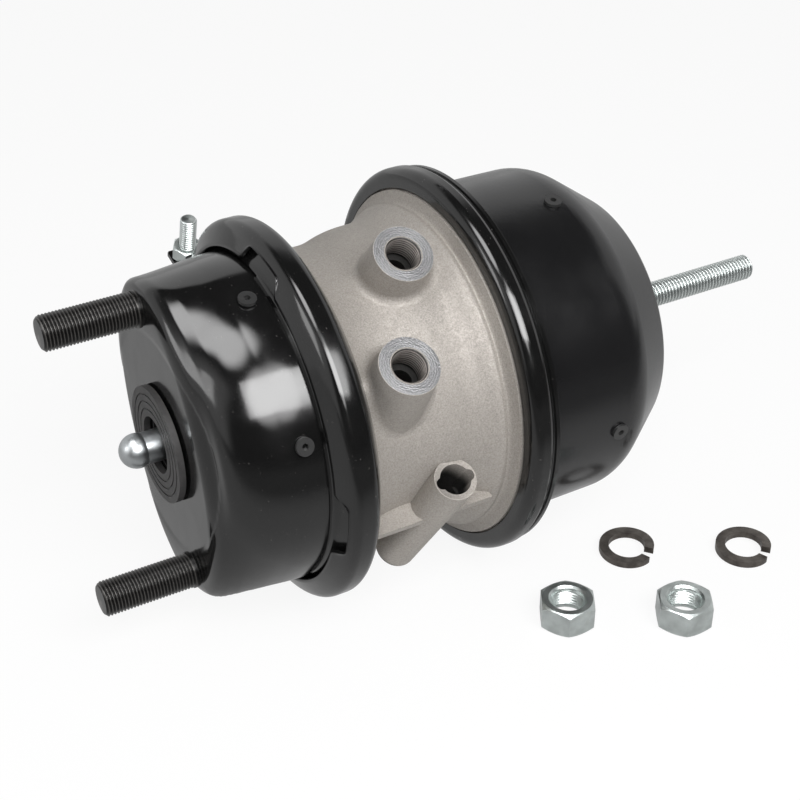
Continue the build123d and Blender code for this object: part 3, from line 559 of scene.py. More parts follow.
def zinc_plated_steel():
    """Zinc plating of the nuts, the bolts, the foot's screw and the release washer."""
    c = painted("zinc")
    s = Shader("zinc_plated_steel", Metallic=0.9)
    s.colour(s.noise(140, 4), [(0.3, shade(c, 0.8)), (0.7, shade(c, 1.15))])
    s.roughness(s.noise(260, 3), 0.28, 0.42)
    s.bump(s.noise(700, 2), 0.0001, 0.3)
    return s.mat


def phosphated_steel():
    """Dark coating of the mounting studs."""
    s = Shader("phosphated_steel", Metallic=0.4, Roughness=0.26)
    s.colour(s.noise(300, 3), [(0.3, (0.018, 0.017, 0.016)), (0.7, (0.045, 0.043, 0.040))])
    return s.mat


def bright_plated_steel():
    """Bright plating of the pushrod and the transfer rod."""
    s = Shader("bright_plated_steel", Metallic=1.0)
    s.colour(s.noise(120, 3), [(0.3, (0.36, 0.38, 0.39)), (0.7, (0.52, 0.54, 0.55))])
    s.roughness(s.noise(300, 3), 0.3, 0.42)
    return s.mat


def bare_pressed_steel():
    """Bare steel of the plates and the rod's foot."""
    s = Shader("bare_pressed_steel", Metallic=0.9, Roughness=0.4)
    s.colour(s.noise(120, 3), [(0.3, (0.30, 0.30, 0.30)), (0.7, (0.42, 0.42, 0.42))])
    return s.mat


def coated_spring_steel():
    """Dark coating of the springs."""
    s = Shader("coated_spring_steel", Base_Color=(0.05, 0.05, 0.055), Roughness=0.45)
    s.bump(s.noise(400, 2), 0.0001, 0.3)
    return s.mat


def moulded_rubber():
    """Black rubber of the seal ring, the boot, the diaphragms and the rod seals."""
    s = Shader("moulded_rubber", Roughness=0.62)
    s.colour(s.noise(250, 3), [(0.3, (0.026, 0.025, 0.025)), (0.7, (0.048, 0.046, 0.046))])
    s.bump(s.noise(600, 3), 0.0001, 0.4)
    return s.mat


def bearing_plastic():
    """Pale plastic of the centre bush."""
    s = Shader("bearing_plastic", Base_Color=(0.62, 0.60, 0.52), Roughness=0.5)
    return s.mat


def plug_plastic():
    """Black plastic of the vent plugs."""
    s = Shader("plug_plastic", Base_Color=(0.03, 0.03, 0.03), Roughness=0.35)
    return s.mat


def oiled_spring_steel():
    """Oiled dark steel of the loose spring washers."""
    s = Shader("oiled_spring_steel", Metallic=0.8, Roughness=0.38)
    s.colour(s.noise(200, 4), [(0.3, (0.07, 0.06, 0.055)), (0.7, (0.16, 0.145, 0.13))])
    return s.mat


def machined_face(mount):
    """Turned rings on the face of a port."""
    s = Shader("machined_" + mount, Metallic=0.6)
    wave = s.node("ShaderNodeTexWave", wave_type="RINGS", rings_direction="Z")
    wave.inputs["Scale"].default_value = 300
    wave.inputs["Distortion"].default_value = 6.0
    wave.inputs["Detail Scale"].default_value = 3.0
    s.link(s.local(*mouth_of(mount)), wave.inputs["Vector"])
    s.colour(wave.outputs["Fac"], [(0.0, (0.20, 0.20, 0.205)), (1.0, (0.30, 0.30, 0.305))])
    s.roughness(s.noise(500, 3), 0.3, 0.5)
    s.bump(wave.outputs["Fac"], 0.00012, 0.8)
    return s.mat


def tapped_bore(mount):
    """Thread of a port, with painted highlight on its crests, painted shade in its roots, and painted shade
    that grows the deeper it lies.
    """
    origin, direction = mouth_of(mount)
    s = Shader("tapped_" + mount, Metallic=0.6, Roughness=0.4)
    depth = MOUNTS[mount]["dims"]["length_mm"] - THREAD_SHORT
    middle = origin - direction * (depth / 2 + THREAD_START)
    ridge, z = s.thread(middle, direction, bpy.context.scene.brake_threads.stud_pitch)
    # Painted highlight on the thread's crests and painted shade in its roots
    s.colour(ridge, TAPPED_PAINTED_LIGHT)
    # Painted shade that grows towards the bottom of the thread
    s.paint_shade(graded(s.tree, z, ((-depth / 2 * MM, 1.0), (depth / 3 * MM, 0.0))), DEEP_THREAD_SHADE)
    return s.mat


FINISHES = {
    "gloss_black": gloss_black_paint,
    "satin_black": satin_black_paint,
    "cast_aluminium": sand_cast_aluminium,
    "zinc_steel": zinc_plated_steel,
    "phosphated_steel": phosphated_steel,
    "plated_steel": bright_plated_steel,
    "bare_steel": bare_pressed_steel,
    "spring_steel": coated_spring_steel,
    "black_rubber": moulded_rubber,
    "bush_plastic": bearing_plastic,
    "plug_plastic": plug_plastic,
    "dark_steel": oiled_spring_steel,
}


def make_materials():
    """Every finish of the chamber, by its slot."""
    mats = {slot: finish() for slot, finish in FINISHES.items()}
    for port, mount in PORTS.items():
        mats["machined_" + port] = machined_face(mount)
        mats["tapped_" + port] = tapped_bore(mount)
    return mats


MATERIALS = {}


# ---------------- thread tree


def thread_tree(internal):
    """Geometry nodes that turn a cylinder along +Z into a right-hand thread with a chamfered tip."""
    tree = bpy.data.node_groups.new("internal_thread" if internal else "external_thread", "GeometryNodeTree")
    face = tree.interface
    for kind, names in (
        ("Float", ("Radius", "Length", "Pitch", "Depth", "Chamfer")),
        ("Int", ("Sides", "Rings")),
        ("Material", ("Material",)),
    ):
        for name in names:
            face.new_socket(name, in_out="INPUT", socket_type="NodeSocket" + kind)
    face.new_socket("Geometry", in_out="OUTPUT", socket_type="NodeSocketGeometry")
    given = tree.nodes.new("NodeGroupInput")
    ends = tree.nodes.new("NodeGroupOutput")
    link = tree.links.new

    def maths(operation, a, b=0.0, clamp=False):
        return joined(tree, operation, a, b, clamp)

    body = tree.nodes.new("GeometryNodeMeshCylinder")
    body.fill_type = "NONE" if internal else "TRIANGLE_FAN"
    fed = {"Sides": "Vertices", "Rings": "Side Segments", "Radius": "Radius", "Length": "Depth"}
    for size, socket in fed.items():
        link(given.outputs[size], body.inputs[socket])
    x, y, z = split(tree, tree.nodes.new("GeometryNodeInputPosition").outputs[0])
    ridge = thread_ridge(tree, x, y, z, given.outputs["Pitch"])
    ridge = maths("SUBTRACT", maths("MULTIPLY", ridge, THREAD_FLANK), (THREAD_FLANK - 1) / 2, clamp=True)
    cut = maths("MULTIPLY", maths("SUBTRACT", 1.0, ridge), given.outputs["Depth"])
    radius = maths("SUBTRACT", given.outputs["Radius"], cut)
    tip = maths("SUBTRACT", maths("MULTIPLY", given.outputs["Length"], 0.5), z)
    cone = maths("ADD", maths("SUBTRACT", given.outputs["Radius"], given.outputs["Chamfer"]), tip)
    radius = maths("MINIMUM", radius, cone)
    scale = maths("DIVIDE", radius, given.outputs["Radius"])
    join = tree.nodes.new("ShaderNodeCombineXYZ")
    link(maths("MULTIPLY", x, scale), join.inputs[0])
    link(maths("MULTIPLY", y, scale), join.inputs[1])
    link(z, join.inputs[2])
    move = tree.nodes.new("GeometryNodeSetPosition")
    link(body.outputs["Mesh"], move.inputs["Geometry"])
    link(join.outputs[0], move.inputs["Position"])
    result = move.outputs[0]
    if internal:
        flip = tree.nodes.new("GeometryNodeFlipFaces")
        link(result, flip.inputs[0])
        result = flip.outputs[0]
    real = tree.nodes.new("GeometryNodeRealizeInstances")
    link(result, real.inputs[0])
    paint = tree.nodes.new("GeometryNodeSetMaterial")
    link(real.outputs[0], paint.inputs["Geometry"])
    link(given.outputs["Material"], paint.inputs["Material"])
    link(paint.outputs[0], ends.inputs[0])
    return tree


def run_tree(tree, values):
    """Plain mesh that a geometry node tree makes from named values."""
    holder = new_object("holder", bpy.data.meshes.new("holder"))
    modifier = holder.modifiers.new("nodes", "NODES")
    modifier.node_group = tree
    for item in tree.interface.items_tree:
        if item.item_type == "SOCKET" and item.in_out == "INPUT" and item.name in values:
            modifier[item.identifier] = values[item.name]
    bpy.context.view_layer.update()
    graph = bpy.context.evaluated_depsgraph_get()
    mesh = bpy.data.meshes.new_from_object(holder.evaluated_get(graph))
    holder.modifiers.remove(modifier)
    bpy.data.objects.remove(holder)
    return mesh


def thread_mesh(radius_mm, length, pitch, depth, material, base, direction, chamfer=0.0, internal=False):
    """Thread whose base lies at a point in millimetres and which runs along a direction."""
    sizes = bpy.context.scene.brake_threads
    group = "internal_thread" if internal else "external_thread"
    tree = bpy.data.node_groups.get(group) or thread_tree(internal)
    rings = max(FEWEST_RINGS, int(length / (pitch / MM) * sizes.rings_per_turn))
    mesh = run_tree(
        tree,
        {
            "Radius": radius_mm * MM,
            "Length": length * MM,
            "Pitch": pitch,
            "Depth": depth,
            "Chamfer": chamfer * MM,
            "Sides": sizes.sides,
            "Rings": rings,
            "Material": material,
        },
    )
    middle = Vector(base) + Vector(direction).normalized() * (length / 2)
    mesh.transform(stand_on(middle, direction))
    for polygon in mesh.polygons:
        polygon.use_smooth = len(polygon.vertices) == 4
    return mesh


def threaded_bar(name, look, radius, length, pitch, depth, base, direction, chamfer):
    """Threaded bar, and its own finish whose crests are painted lighter than its roots, as painted highlight
    and shade.
    """
    stops, metal, rough = look
    s = Shader(name, Metallic=metal, Roughness=rough)
    ridge, _ = s.thread(Vector(base) + Vector(direction) * (length / 2), direction, pitch)
    # Painted highlight on the crests and painted shade in the roots
    s.colour(ridge, stops)
    return thread_mesh(radius, length, pitch, depth, s.mat, base, direction, chamfer=chamfer), s.mat


# ---------------- meshes


def finished(bm, name, smooth=True, in_mm=False):
    """Mesh of a closed body with its normals outward, brought to metres if it is in millimetres."""
    bmesh.ops.recalc_face_normals(bm, faces=bm.faces)
    mesh = bpy.data.meshes.new(name)
    bm.to_mesh(mesh)
    bm.free()
    if in_mm:
        mesh.transform(Matrix.Scale(MM, 4))
    for polygon in mesh.polygons:
        polygon.use_smooth = smooth
    return mesh


def merge_into(mesh, *others):
    """Adds other meshes to a mesh."""
    bm = bmesh.new()
    bm.from_mesh(mesh)
    for other in others:
        bm.from_mesh(other)
        bpy.data.meshes.remove(other)
    bm.to_mesh(mesh)
    bm.free()


def bridge(bm, rings, loop=False):
    """Faces from each ring of vertices to the next, and from the last to the first in a loop."""
    for low, high in zip(rings, rings[1:] + (rings[:1] if loop else [])):
        for i in range(len(low)):
            j = (i + 1) % len(low)
            bm.faces.new((low[i], low[j], high[j], high[i]))


def fixed(value):
    """The same value at every angle."""
    return lambda angle: value


def lathe(bm, rings, steps, close=True):
    """Turned faces through rings of (radius, height), each a function of the angle."""
    rows = []
    for radius, height in rings:
        row = []
        for i in range(steps):
            a = math.tau * i / steps
            row.append(bm.verts.new((radius(a) * math.cos(a), radius(a) * math.sin(a), height(a))))
        rows.append(row)
    bridge(bm, rows, close)


def bar_mesh(radius, length, base, direction):
    """Plain round bar, in millimetres."""
    bm = bmesh.new()
    profile = ((BAR_CENTRE, 0.0), (radius, 0.0), (radius, length), (BAR_CENTRE, length))
    lathe(bm, [(fixed(r), fixed(z)) for r, z in profile], BAR_STEPS, close=False)
    bmesh.ops.remove_doubles(bm, verts=bm.verts, dist=BAR_MERGE)
    mesh = finished(bm, "bar", smooth=False, in_mm=True)
    mesh.transform(stand_on(base, direction))
    return mesh


def block_mesh(size, edge=0.0):
    """Plain block round the origin, in millimetres, with its edges broken where an edge is given."""
    bm = bmesh.new()
    bmesh.ops.create_cube(bm, size=1.0)
    bmesh.ops.scale(bm, vec=Vector(size) * MM, verts=bm.verts)
    if edge:
        bmesh.ops.bevel(bm, geom=list(bm.edges), offset=edge * MM, segments=2, affect="EDGES")
    return finished(bm, "block", smooth=False)


def merged(node):
    """Editable copy of a CAD node whose faces share their corners."""
    bm = bmesh.new()
    bm.from_mesh(NODES[node].data)
    bmesh.ops.remove_doubles(bm, verts=bm.verts, dist=MERGE)
    return bm


def rear_of(node, x_mm):
    """Copy of the part of a CAD node behind a plane across the chamber's axis."""
    bm = merged(node)
    everything = bm.verts[:] + bm.edges[:] + bm.faces[:]
    place = (x_mm * MM, 0, 0)
    bmesh.ops.bisect_plane(bm, geom=everything, plane_co=place, plane_no=(1, 0, 0), clear_inner=True)
    bmesh.ops.edgeloop_fill(bm, edges=[edge for edge in bm.edges if edge.is_boundary])
    return finished(bm, node + "_rear", smooth=False)


def soft_copy(node):
    """Merged copy of a CAD node, with its finish and its sharp edges split."""
    mesh = finished(merged(node), node + "_soft")
    mesh.materials.append(MATERIALS[slot_of(node)])
    obj = new_object(node + "_soft", mesh)
    obj.modifiers.new("edges", "EDGE_SPLIT").split_angle = math.radians(SHARP_EDGE)
    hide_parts(node)
    slot_of(node)
    return obj


def nut_mesh(name, flats, height, bore, pitch, depth, steps=NUT_STEPS):
    """Hexagon nut along +Z from z=0 in millimetres, chamfered on both faces, with a threaded bore or none."""
    bm = bmesh.new()
    half = flats / 2
    circle = half * NUT_CHAMFER_START

    def hexagon(a):
        return half / math.cos((a % (math.pi / 3)) - math.pi / 6)

    def drop(a):
        return max(0.0, hexagon(a) - circle) * math.tan(math.radians(NUT_CHAMFER))

    low_face, high_face = (fixed(circle), fixed(0.0)), (fixed(circle), fixed(height))
    outside = [low_face, (hexagon, drop), (hexagon, lambda a: height - drop(a)), high_face]
    if bore:
        root = bore + depth
        mouth = bore + NUT_COUNTERSINK * depth
        sink = mouth - root
        turns = int((height - 2 * sink) / pitch * NUT_RINGS)
        inside = [(fixed(mouth), fixed(height)), (fixed(root), fixed(height - sink))]
        for k in range(turns + 1):
            z = height - sink - (height - 2 * sink) * k / turns
            fade = min(1.0, NUT_FADE * min(k, turns - k) / turns)

            def thread(a, z=z, fade=fade):
                phase = (z / pitch - a / math.tau) % 1.0
                return root - depth * fade * abs(2 * phase - 1)

            inside.append((thread, fixed(z)))
        inside.append((fixed(mouth), fixed(0.0)))
        lathe(bm, outside + inside, steps)
    else:
        centre = fixed(NUT_CENTRE)
        lathe(bm, [(centre, fixed(0.0)), *outside, (centre, fixed(height))], steps, close=False)
    bmesh.ops.remove_doubles(bm, verts=bm.verts, dist=NUT_MERGE)
    return finished(bm, name, smooth=False, in_mm=True)


# ---------------- pressed skins


def ease(value, low, high):
    """Smooth step from 0 to 1 between two values."""
    t = min(1.0, max(0.0, (value - low) / (high - low)))
    return t * t * (3 - 2 * t)


def rounded(a, b, radius):
    """Distance to what two bodies share, with their meeting edge rounded."""
    a, b = a + radius, b + radius
    return min(max(a, b), 0.0) + math.hypot(max(a, 0.0), max(b, 0.0)) - radius


def soft_union(a, b, reach):
    """Distance to two bodies joined with a soft valley."""
    h = max(reach - abs(a - b), 0.0) / reach
    return min(a, b) - h * h * reach / 4


def pad_spread(x):
    """How far the pad's side has spread at a depth behind its face."""
    for (x0, s0), (x1, s1) in zip(PAD_SIDE, PAD_SIDE[1:]):
        if x <= x1:
            return s0 + (s1 - s0) * max(0.0, x - x0) / (x1 - x0)
    return PAD_SIDE[-1][1]


def housing_distance(x, along, across):
    """Signed distance from the outside of the service housing, in millimetres."""
    r = math.hypot(along, across)
    shoulder, shoulder_round, tip_round = SHOULDER
    bulge = PAD_HEIGHT + shoulder_round
    wall = shoulder + (HOUSING[0] - shoulder) * max(0.0, x - bulge) / (HOUSING[1] - bulge)
    crest, deep_r, deep_x = BULGE
    sunk, low, high = VALLEY
    front = crest + sunk * (1 - ease(r, low, high)) - x
    u, v = (r - wall + deep_r) / deep_r, (front + deep_x) / deep_x
    body = (math.hypot(u, v) - 1) * deep_r if u > 0 and v > 0 else max(r - wall, front)
    g = math.hypot(along / PAD_HALF[0], across / PAD_HALF[1])
    slope = math.hypot(along / PAD_HALF[0] ** 2, across / PAD_HALF[1] ** 2) or 1.0
    side = g * (g - 1) / slope - pad_spread(x)
    pad = max(rounded(side, -x, PAD_EDGE), rounded(r - shoulder, -x, tip_round))
    return rounded(soft_union(body, pad, PAD_BLEND), -x, PAD_EDGE)


def skin_point(angle, steer, inset):
    """Point where a ray from inside the housing meets its skin."""
    along, across = math.cos(steer), math.sin(steer)
    x_way, r_way = -math.cos(angle), math.sin(angle)
    t = RAY_START
    for _ in range(RAY_TRIES):
        d = housing_distance(RAY_FROM + x_way * t, r_way * t * along, r_way * t * across) + inset
        t -= d * RAY_STRIDE
        if abs(d) < RAY_NEAR:
            break
    return RAY_FROM + x_way * t, r_way * t


def skin_rows(inset, rows, rear):
    """Rings of (x, radius) tables for the outside or the inside of the service housing."""
    steers = [math.tau * i / SKIN_STEPS for i in range(SKIN_STEPS)]
    first = math.atan2(OPENING, RAY_FROM - inset)
    last = math.radians(RAY_LAST)
    table = [[(inset, OPENING)] * SKIN_STEPS]
    for k in range(1, rows + 1):
        table.append([skin_point(first + (last - first) * k / rows, steer, inset) for steer in steers])
    return table + [[place] * SKIN_STEPS for place in rear]


def band_of(bm, table, clock):
    """Loop of faces through rings of (x, radius) tables that start at a clock angle."""
    along, across = out(clock), round_way(clock)
    grid = []
    for row in table:
        verts = []
        for i, (x, r) in enumerate(row):
            a = math.tau * i / len(row)
            way = along * math.cos(a) + across * math.sin(a)
            verts.append(bm.verts.new((Vector((x, 0, 0)) + way * r) * MM))
        grid.append(verts)
    bridge(bm, grid, loop=True)


def housing_mesh():
    """Service housing: lens-shaped pad, soft valley, shoulder, wall and flange, with an even wall."""
    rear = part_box("service_housing")[1].x / MM
    foot, rim, edge = FLANGE
    run = BAND_REACH * (rim - foot) / (BAND_CREST - BAND_LIP)
    start = rear - edge - run
    outside = [(start + x, HOUSING[0] + r) for x, r in WALL_BEND]
    outside += [(start + FLARE_FOOT[0], foot + FLARE_FOOT[1]), (start, foot)]
    outside += [(start + run / 2, (foot + rim) / 2)]
    outside += [(rear - edge, rim - RIM_ROUND), (rear - edge + RIM_ROUND, rim), (rear, rim)]
    inner = HOUSING[0] - WALL
    inside = [(rear - WALL, inner), (rear, inner)]
    table = skin_rows(0.0, RAY_ROWS, outside)
    hollow = skin_rows(WALL, RAY_ROWS // 3, inside)
    bm = bmesh.new()
    band_of(bm, table + hollow[::-1], STUD_CLOCK)
    return finished(bm, "service_housing_skin")


def notch_share(clock):
    """1 where the clamp band's front lip is cut back, 0 elsewhere."""
    half = NOTCH_SPACING / 2
    away = abs((clock - NOTCH_CLOCK + half) % NOTCH_SPACING - half)
    return 1.0 - ease(away, NOTCH_HALF - NOTCH_EASE, NOTCH_HALF)


def band_section(clock, front):
    """Outer half of the clamp band's section from the crown to the lip, and its inner half back again."""
    share = notch_share(clock) if front else 0.0
    lip = BAND_LIP + NOTCH_RISE * share
    slope = BAND_REACH / (BAND_CREST - BAND_LIP)
    turned = BAND_CREST - BEND_AFTER
    bend = [(BAND_HALF - BEND_BEFORE, BAND_CREST), (BAND_HALF, BAND_CREST)]
    bend.append((BAND_HALF + slope * BEND_AFTER, turned))
    outer = [(0.0, BAND_CREST), (BAND_HALF * CROWN_FLAT, BAND_CREST)]
    for k in range(1, BEND_STEPS):
        t = k / BEND_STEPS
        x, r = ((1 - t) ** 2 * a + 2 * t * (1 - t) * b + t * t * c for a, b, c in zip(*bend))
        outer.append((x, r))
    for k in range(1, LIP_STEPS + 1):
        t = k / LIP_STEPS
        r = turned + (lip - turned) * t
        outer.append((BAND_HALF + slope * (BAND_CREST - r) + NOTCH_FLARE * share * t**2, r))
    tip_x, tip_r = outer[-1]
    outer += [(tip_x + x, tip_r + r) for x, r in LIP_ROUND]
    inside = BAND_CREST - BAND_WALL
    inner = [(BAND_HALF - CROWN_INSIDE[0], inside - CROWN_INSIDE[1]), (0.0, inside)]
    return outer + inner


def clamp_mesh():
    """Clamp band with notched front lip, one split and two lugs."""
    gap = math.degrees(math.asin(LUG[0] / BAND_CREST))
    bm = bmesh.new()
    rings = []
    for i in range(BAND_STEPS + 1):
        clock = CLAMP_CLOCK + gap + (360 - 2 * gap) * i / BAND_STEPS
        front, back = band_section(clock, True), band_section(clock, False)
        loop = [(CLAMP_X - x, r) for x, r in front] + [(CLAMP_X + x, r) for x, r in back[-2:0:-1]]
        rings.append([bm.verts.new((Vector((x, 0, 0)) + out(clock) * r) * MM) for x, r in loop])
    bridge(bm, rings)
    for ring in (rings[0], rings[-1]):
        edges = [bm.edges.get(pair) for pair in zip(ring, ring[1:] + ring[:1])]
        bmesh.ops.triangle_fill(bm, edges=[edge for edge in edges if edge])
    mesh = finished(bm, "clamp_band_skin")
    thick, wide, tall = LUG
    foot = BAND_CREST - BAND_WALL + LUG_RISE
    for side in (-1, 1):
        lug = block_mesh((tall, wide, thick), LUG_EDGE)
        centre = Vector((CLAMP_X, 0, 0)) + out(CLAMP_CLOCK) * (foot + tall / 2)
        centre += round_way(CLAMP_CLOCK) * side * (CLAMP_SEAT - thick / 2)
        lug.transform(stand_on(centre, round_way(CLAMP_CLOCK), out(CLAMP_CLOCK)))
        merge_into(mesh, lug)
    return mesh


# ---------------- stage parts


def seen_directly(tree):
    """Socket that is 1 where the camera looks straight at a thing, or in a reflection or through glass."""
    path = tree.nodes.new("ShaderNodeLightPath")
    total = path.outputs["Is Camera Ray"]
    for kind in ("Is Glossy Ray", "Is Transmission Ray"):
        total = joined(tree, "MAXIMUM", total, path.outputs[kind])
    return total


def seen_level(tree, place, stops, sheen=1.0):
    """White for the camera, and in reflections white behind the part and dim where the room is dark."""
    places = split(tree, place)
    level = None
    for axis, pair in stops:
        step = graded(tree, places[axis], pair)
        level = step if level is None else joined(tree, "MULTIPLY", level, step)
    level = joined(tree, "MULTIPLY", level, sheen)
    path = tree.nodes.new("ShaderNodeLightPath")
    return joined(tree, "MAXIMUM", level, path.outputs["Is Camera Ray"])


def mixed(tree, share, plain, seen, target):
    """Mixes two shaders by a share into the input of an output node."""
    mix = tree.nodes.new("ShaderNodeMixShader")
    for socket, source in zip(mix.inputs, (share, plain, seen)):
        tree.links.new(source, socket)
    tree.links.new(mix.outputs[0], target)


def studio_world():
    """White backdrop where it is seen, dim behind the camera and overhead, and an even fill for the rest."""
    world = bpy.data.worlds.new("studio")
    world.use_nodes = True
    tree = world.node_tree
    fill = tree.nodes["Background"]
    fill.inputs["Color"].default_value = (1, 1, 1, 1)
    fill.inputs["Strength"].default_value = FILL
    seen = tree.nodes.new("ShaderNodeBackground")
    direction = tree.nodes.new("ShaderNodeTexCoord").outputs["Generated"]
    level = seen_level(tree, direction, (("Y", WORLD_DARK_FRONT), ("Z", WORLD_DARK_TOP)))
    for way, edge in SOFT_CARDS:
        card = tree.nodes.new("ShaderNodeVectorMath")
        card.operation = "DOT_PRODUCT"
        card.inputs[1].default_value = Vector(way).normalized()
        tree.links.new(direction, card.inputs[0])
        level = joined(tree, "ADD", level, graded(tree, card.outputs["Value"], edge))
    tree.links.new(level, seen.inputs["Strength"])
    surface = tree.nodes["World Output"].inputs["Surface"]
    mixed(tree, seen_directly(tree), fill.outputs[0], seen.outputs[0], surface)
    return world


def floor_material(colour):
    """Pale floor that looks white where it is seen and keeps a soft shadow."""
    mat = bpy.data.materials.new("pale_floor")
    mat.use_nodes = True
    tree = mat.node_tree
    bsdf = tree.nodes["Principled BSDF"]
    bsdf.inputs["Base Color"].default_value = (*colour, 1)
    bsdf.inputs["Roughness"].default_value = 0.9
    bsdf.inputs["Specular IOR Level"].default_value = 0.0
    white = tree.nodes.new("ShaderNodeEmission")
    place = tree.nodes.new("ShaderNodeTexCoord").outputs["Object"]
    level = seen_level(tree, place, (("Y", FLOOR_DARK_FRONT),), FLOOR_SHEEN)
    tree.links.new(level, white.inputs["Strength"])
    share = joined(tree, "MULTIPLY", seen_directly(tree), FLOOR_WHITE)
    surface = tree.nodes["Material Output"].inputs["Surface"]
    mixed(tree, share, bsdf.outputs[0], white.outputs[0], surface)
    return mat


def floor_mesh():
    """Flat floor just under the chamber's lowest point."""
    side, z = FLOOR_HALF, CAD_BOX[0].z - FLOOR_GAP
    mesh = bpy.data.meshes.new("floor")
    corners = [(-side, -side, z), (side, -side, z), (side, side, z), (-side, side, z)]
    mesh.from_pydata(corners, [], [(0, 1, 2, 3)])
    mesh.materials.append(floor_material(painted("floor")))
    return mesh


def add_lamp(name, place, aim, size, watts):
    """Rectangular lamp that points at a place."""
    lamp = bpy.data.lights.new(name, "AREA")
    lamp.shape = "RECTANGLE"
    lamp.size, lamp.size_y = size
    lamp.energy = watts
    obj = new_object(name, lamp)
    obj.location = place
    obj.rotation_mode = "QUATERNION"
    obj.rotation_quaternion = (Vector(aim) - Vector(place)).to_track_quat("-Z", "Y")


def add_camera():
    """Camera of the main view."""
    camera = bpy.data.cameras.new("camera")
    camera.lens, camera.sensor_width = CAMERA_LENS, CAMERA_SENSOR
    camera.clip_start, camera.clip_end = CAMERA_CLIP
    obj = new_object("camera", camera)
    turn = Matrix((CAMERA_RIGHT, -Vector(CAMERA_DOWN), -Vector(CAMERA_FORWARD))).transposed().to_4x4()
    turn.translation = Vector(CAMERA_PLACE)
    obj.matrix_world = turn
    bpy.context.scene.camera = obj


# ---------------- operators


class BRAKE_OT_finishes(bpy.types.Operator):
    """Makes the finishes and gives one to each CAD piece"""

    bl_idname = "brake.finishes"
    bl_label = "Finishes"

    def execute(self, context):
        MATERIALS.update(make_materials())
        for name, obj in NODES.items():
            obj.data.materials.clear()
            obj.data.materials.append(MATERIALS[slot_of(name)])
        return {"FINISHED"}


class BRAKE_OT_pressings(bpy.types.Operator):
    """Smooth skins of the service housing and of the clamp band"""

    bl_idname = "brake.pressings"
    bl_label = "Pressings"

    def execute(self, context):
        for name, mesh in (("service_housing", housing_mesh()), ("clamp_band", clamp_mesh())):
            add_piece(name + "_skin", mesh, MATERIALS[slot_of(name)], "chamber", name)
        return {"FINISHED"}


class BRAKE_OT_studs(bpy.types.Operator):
    """Threads on the two mounting studs"""

    bl_idname = "brake.studs"
    bl_label = "Mounting studs"

    def execute(self, context):
        sizes = context.scene.brake_threads
        stud = MOUNTS["mounting_studs"]["dims"]
        for name, side in (("mounting_stud_upper", 0), ("mounting_stud_lower", 180)):
            axis = out(STUD_CLOCK + side) * stud["pcd_mm"] / 2
            length = -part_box(name)[0].x / MM
            mesh, finish = threaded_bar(
                name + "_oxide", OXIDE_PAINTED_LIGHT, stud["stud_r_mm"], length,
                sizes.stud_pitch, sizes.stud_depth, axis, (-1, 0, 0), STUD_TIP_CHAMFER,
            )
            merge_into(mesh, rear_of(name, 0.0))
            add_piece(name + "_thread", mesh, finish, "chamber", name)
        return {"FINISHED"}


class BRAKE_OT_caging_bolt(bpy.types.Operator):
    """Threaded caging bolt with its nut"""

    bl_idname = "brake.caging_bolt"
    bl_label = "Caging bolt"

    def execute(self, context):
        sizes = context.scene.brake_threads
        low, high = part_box("release_bolt")
        head, tip = low.x / MM, high.x / MM
        mesh, finish = threaded_bar(
            "caging_bolt_zinc", PLATED_PAINTED_LIGHT, CAGING_RADIUS, tip - CAGING_START,
            sizes.release_pitch, sizes.release_depth, (CAGING_START, 0, 0), (1, 0, 0), CAGING_CHAMFER,
        )
        inside = bar_mesh(CAGING_RADIUS, CAGING_START + CAGING_OVERLAP - head, (head, 0, 0), (1, 0, 0))
        tee = block_mesh(TEE)
        tee.transform(Matrix.Translation(((head + TEE[0] / 2) * MM, 0, 0)))
        merge_into(mesh, inside, tee)
        add_piece("caging_bolt", mesh, finish, "parking_piston", "release_bolt")
        low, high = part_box("release_nut")
        flats, bore, depth = CAGING_NUT
        nut = nut_mesh("caging_nut", flats, (high.x - low.x) / MM, bore, sizes.release_pitch / MM, depth)
        nut.transform(stand_on((low.x / MM, 0, 0), (1, 0, 0), (0, 0, 1)))
        add_piece("caging_nut", nut, MATERIALS["zinc_steel"], "release_nut", "release_nut")
        return {"FINISHED"}


class BRAKE_OT_soft_parts(bpy.types.Operator):
    """Copies of the bellows, springs and diaphragms"""

    bl_idname = "brake.soft_parts"
    bl_label = "Boot, springs and diaphragms"

    def execute(self, context):
        for node in FLATTENED:
            low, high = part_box(node)
            obj = soft_copy(node)
            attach(obj, "chamber")
            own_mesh(obj)
        for node, body, start, end in STRETCHED:
            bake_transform(soft_copy(node))
        return {"FINISHED"}


class BRAKE_OT_loose_nuts(bpy.types.Operator):
    """Loose mounting nuts on the floor"""

    bl_idname = "brake.loose_nuts"
    bl_label = "Loose nuts"

    def execute(self, context):
        sizes = context.scene.brake_threads
        flats, bore, depth = LOOSE_NUT
        for number in (1, 2):
            node = f"mounting_nut_{number}"
            low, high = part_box(node)
            middle = (low + high) / 2 / MM
            nut = nut_mesh(node, flats, (high.z - low.z) / MM, bore, sizes.stud_pitch / MM, depth)
            nut.transform(stand_on((middle.x, middle.y, low.z / MM), (0, 0, 1), (1, 0, 0)))
            add_piece(f"loose_nut_{number}_hex", nut, MATERIALS["zinc_steel"], f"loose_nut_{number}", node)
        return {"FINISHED"}


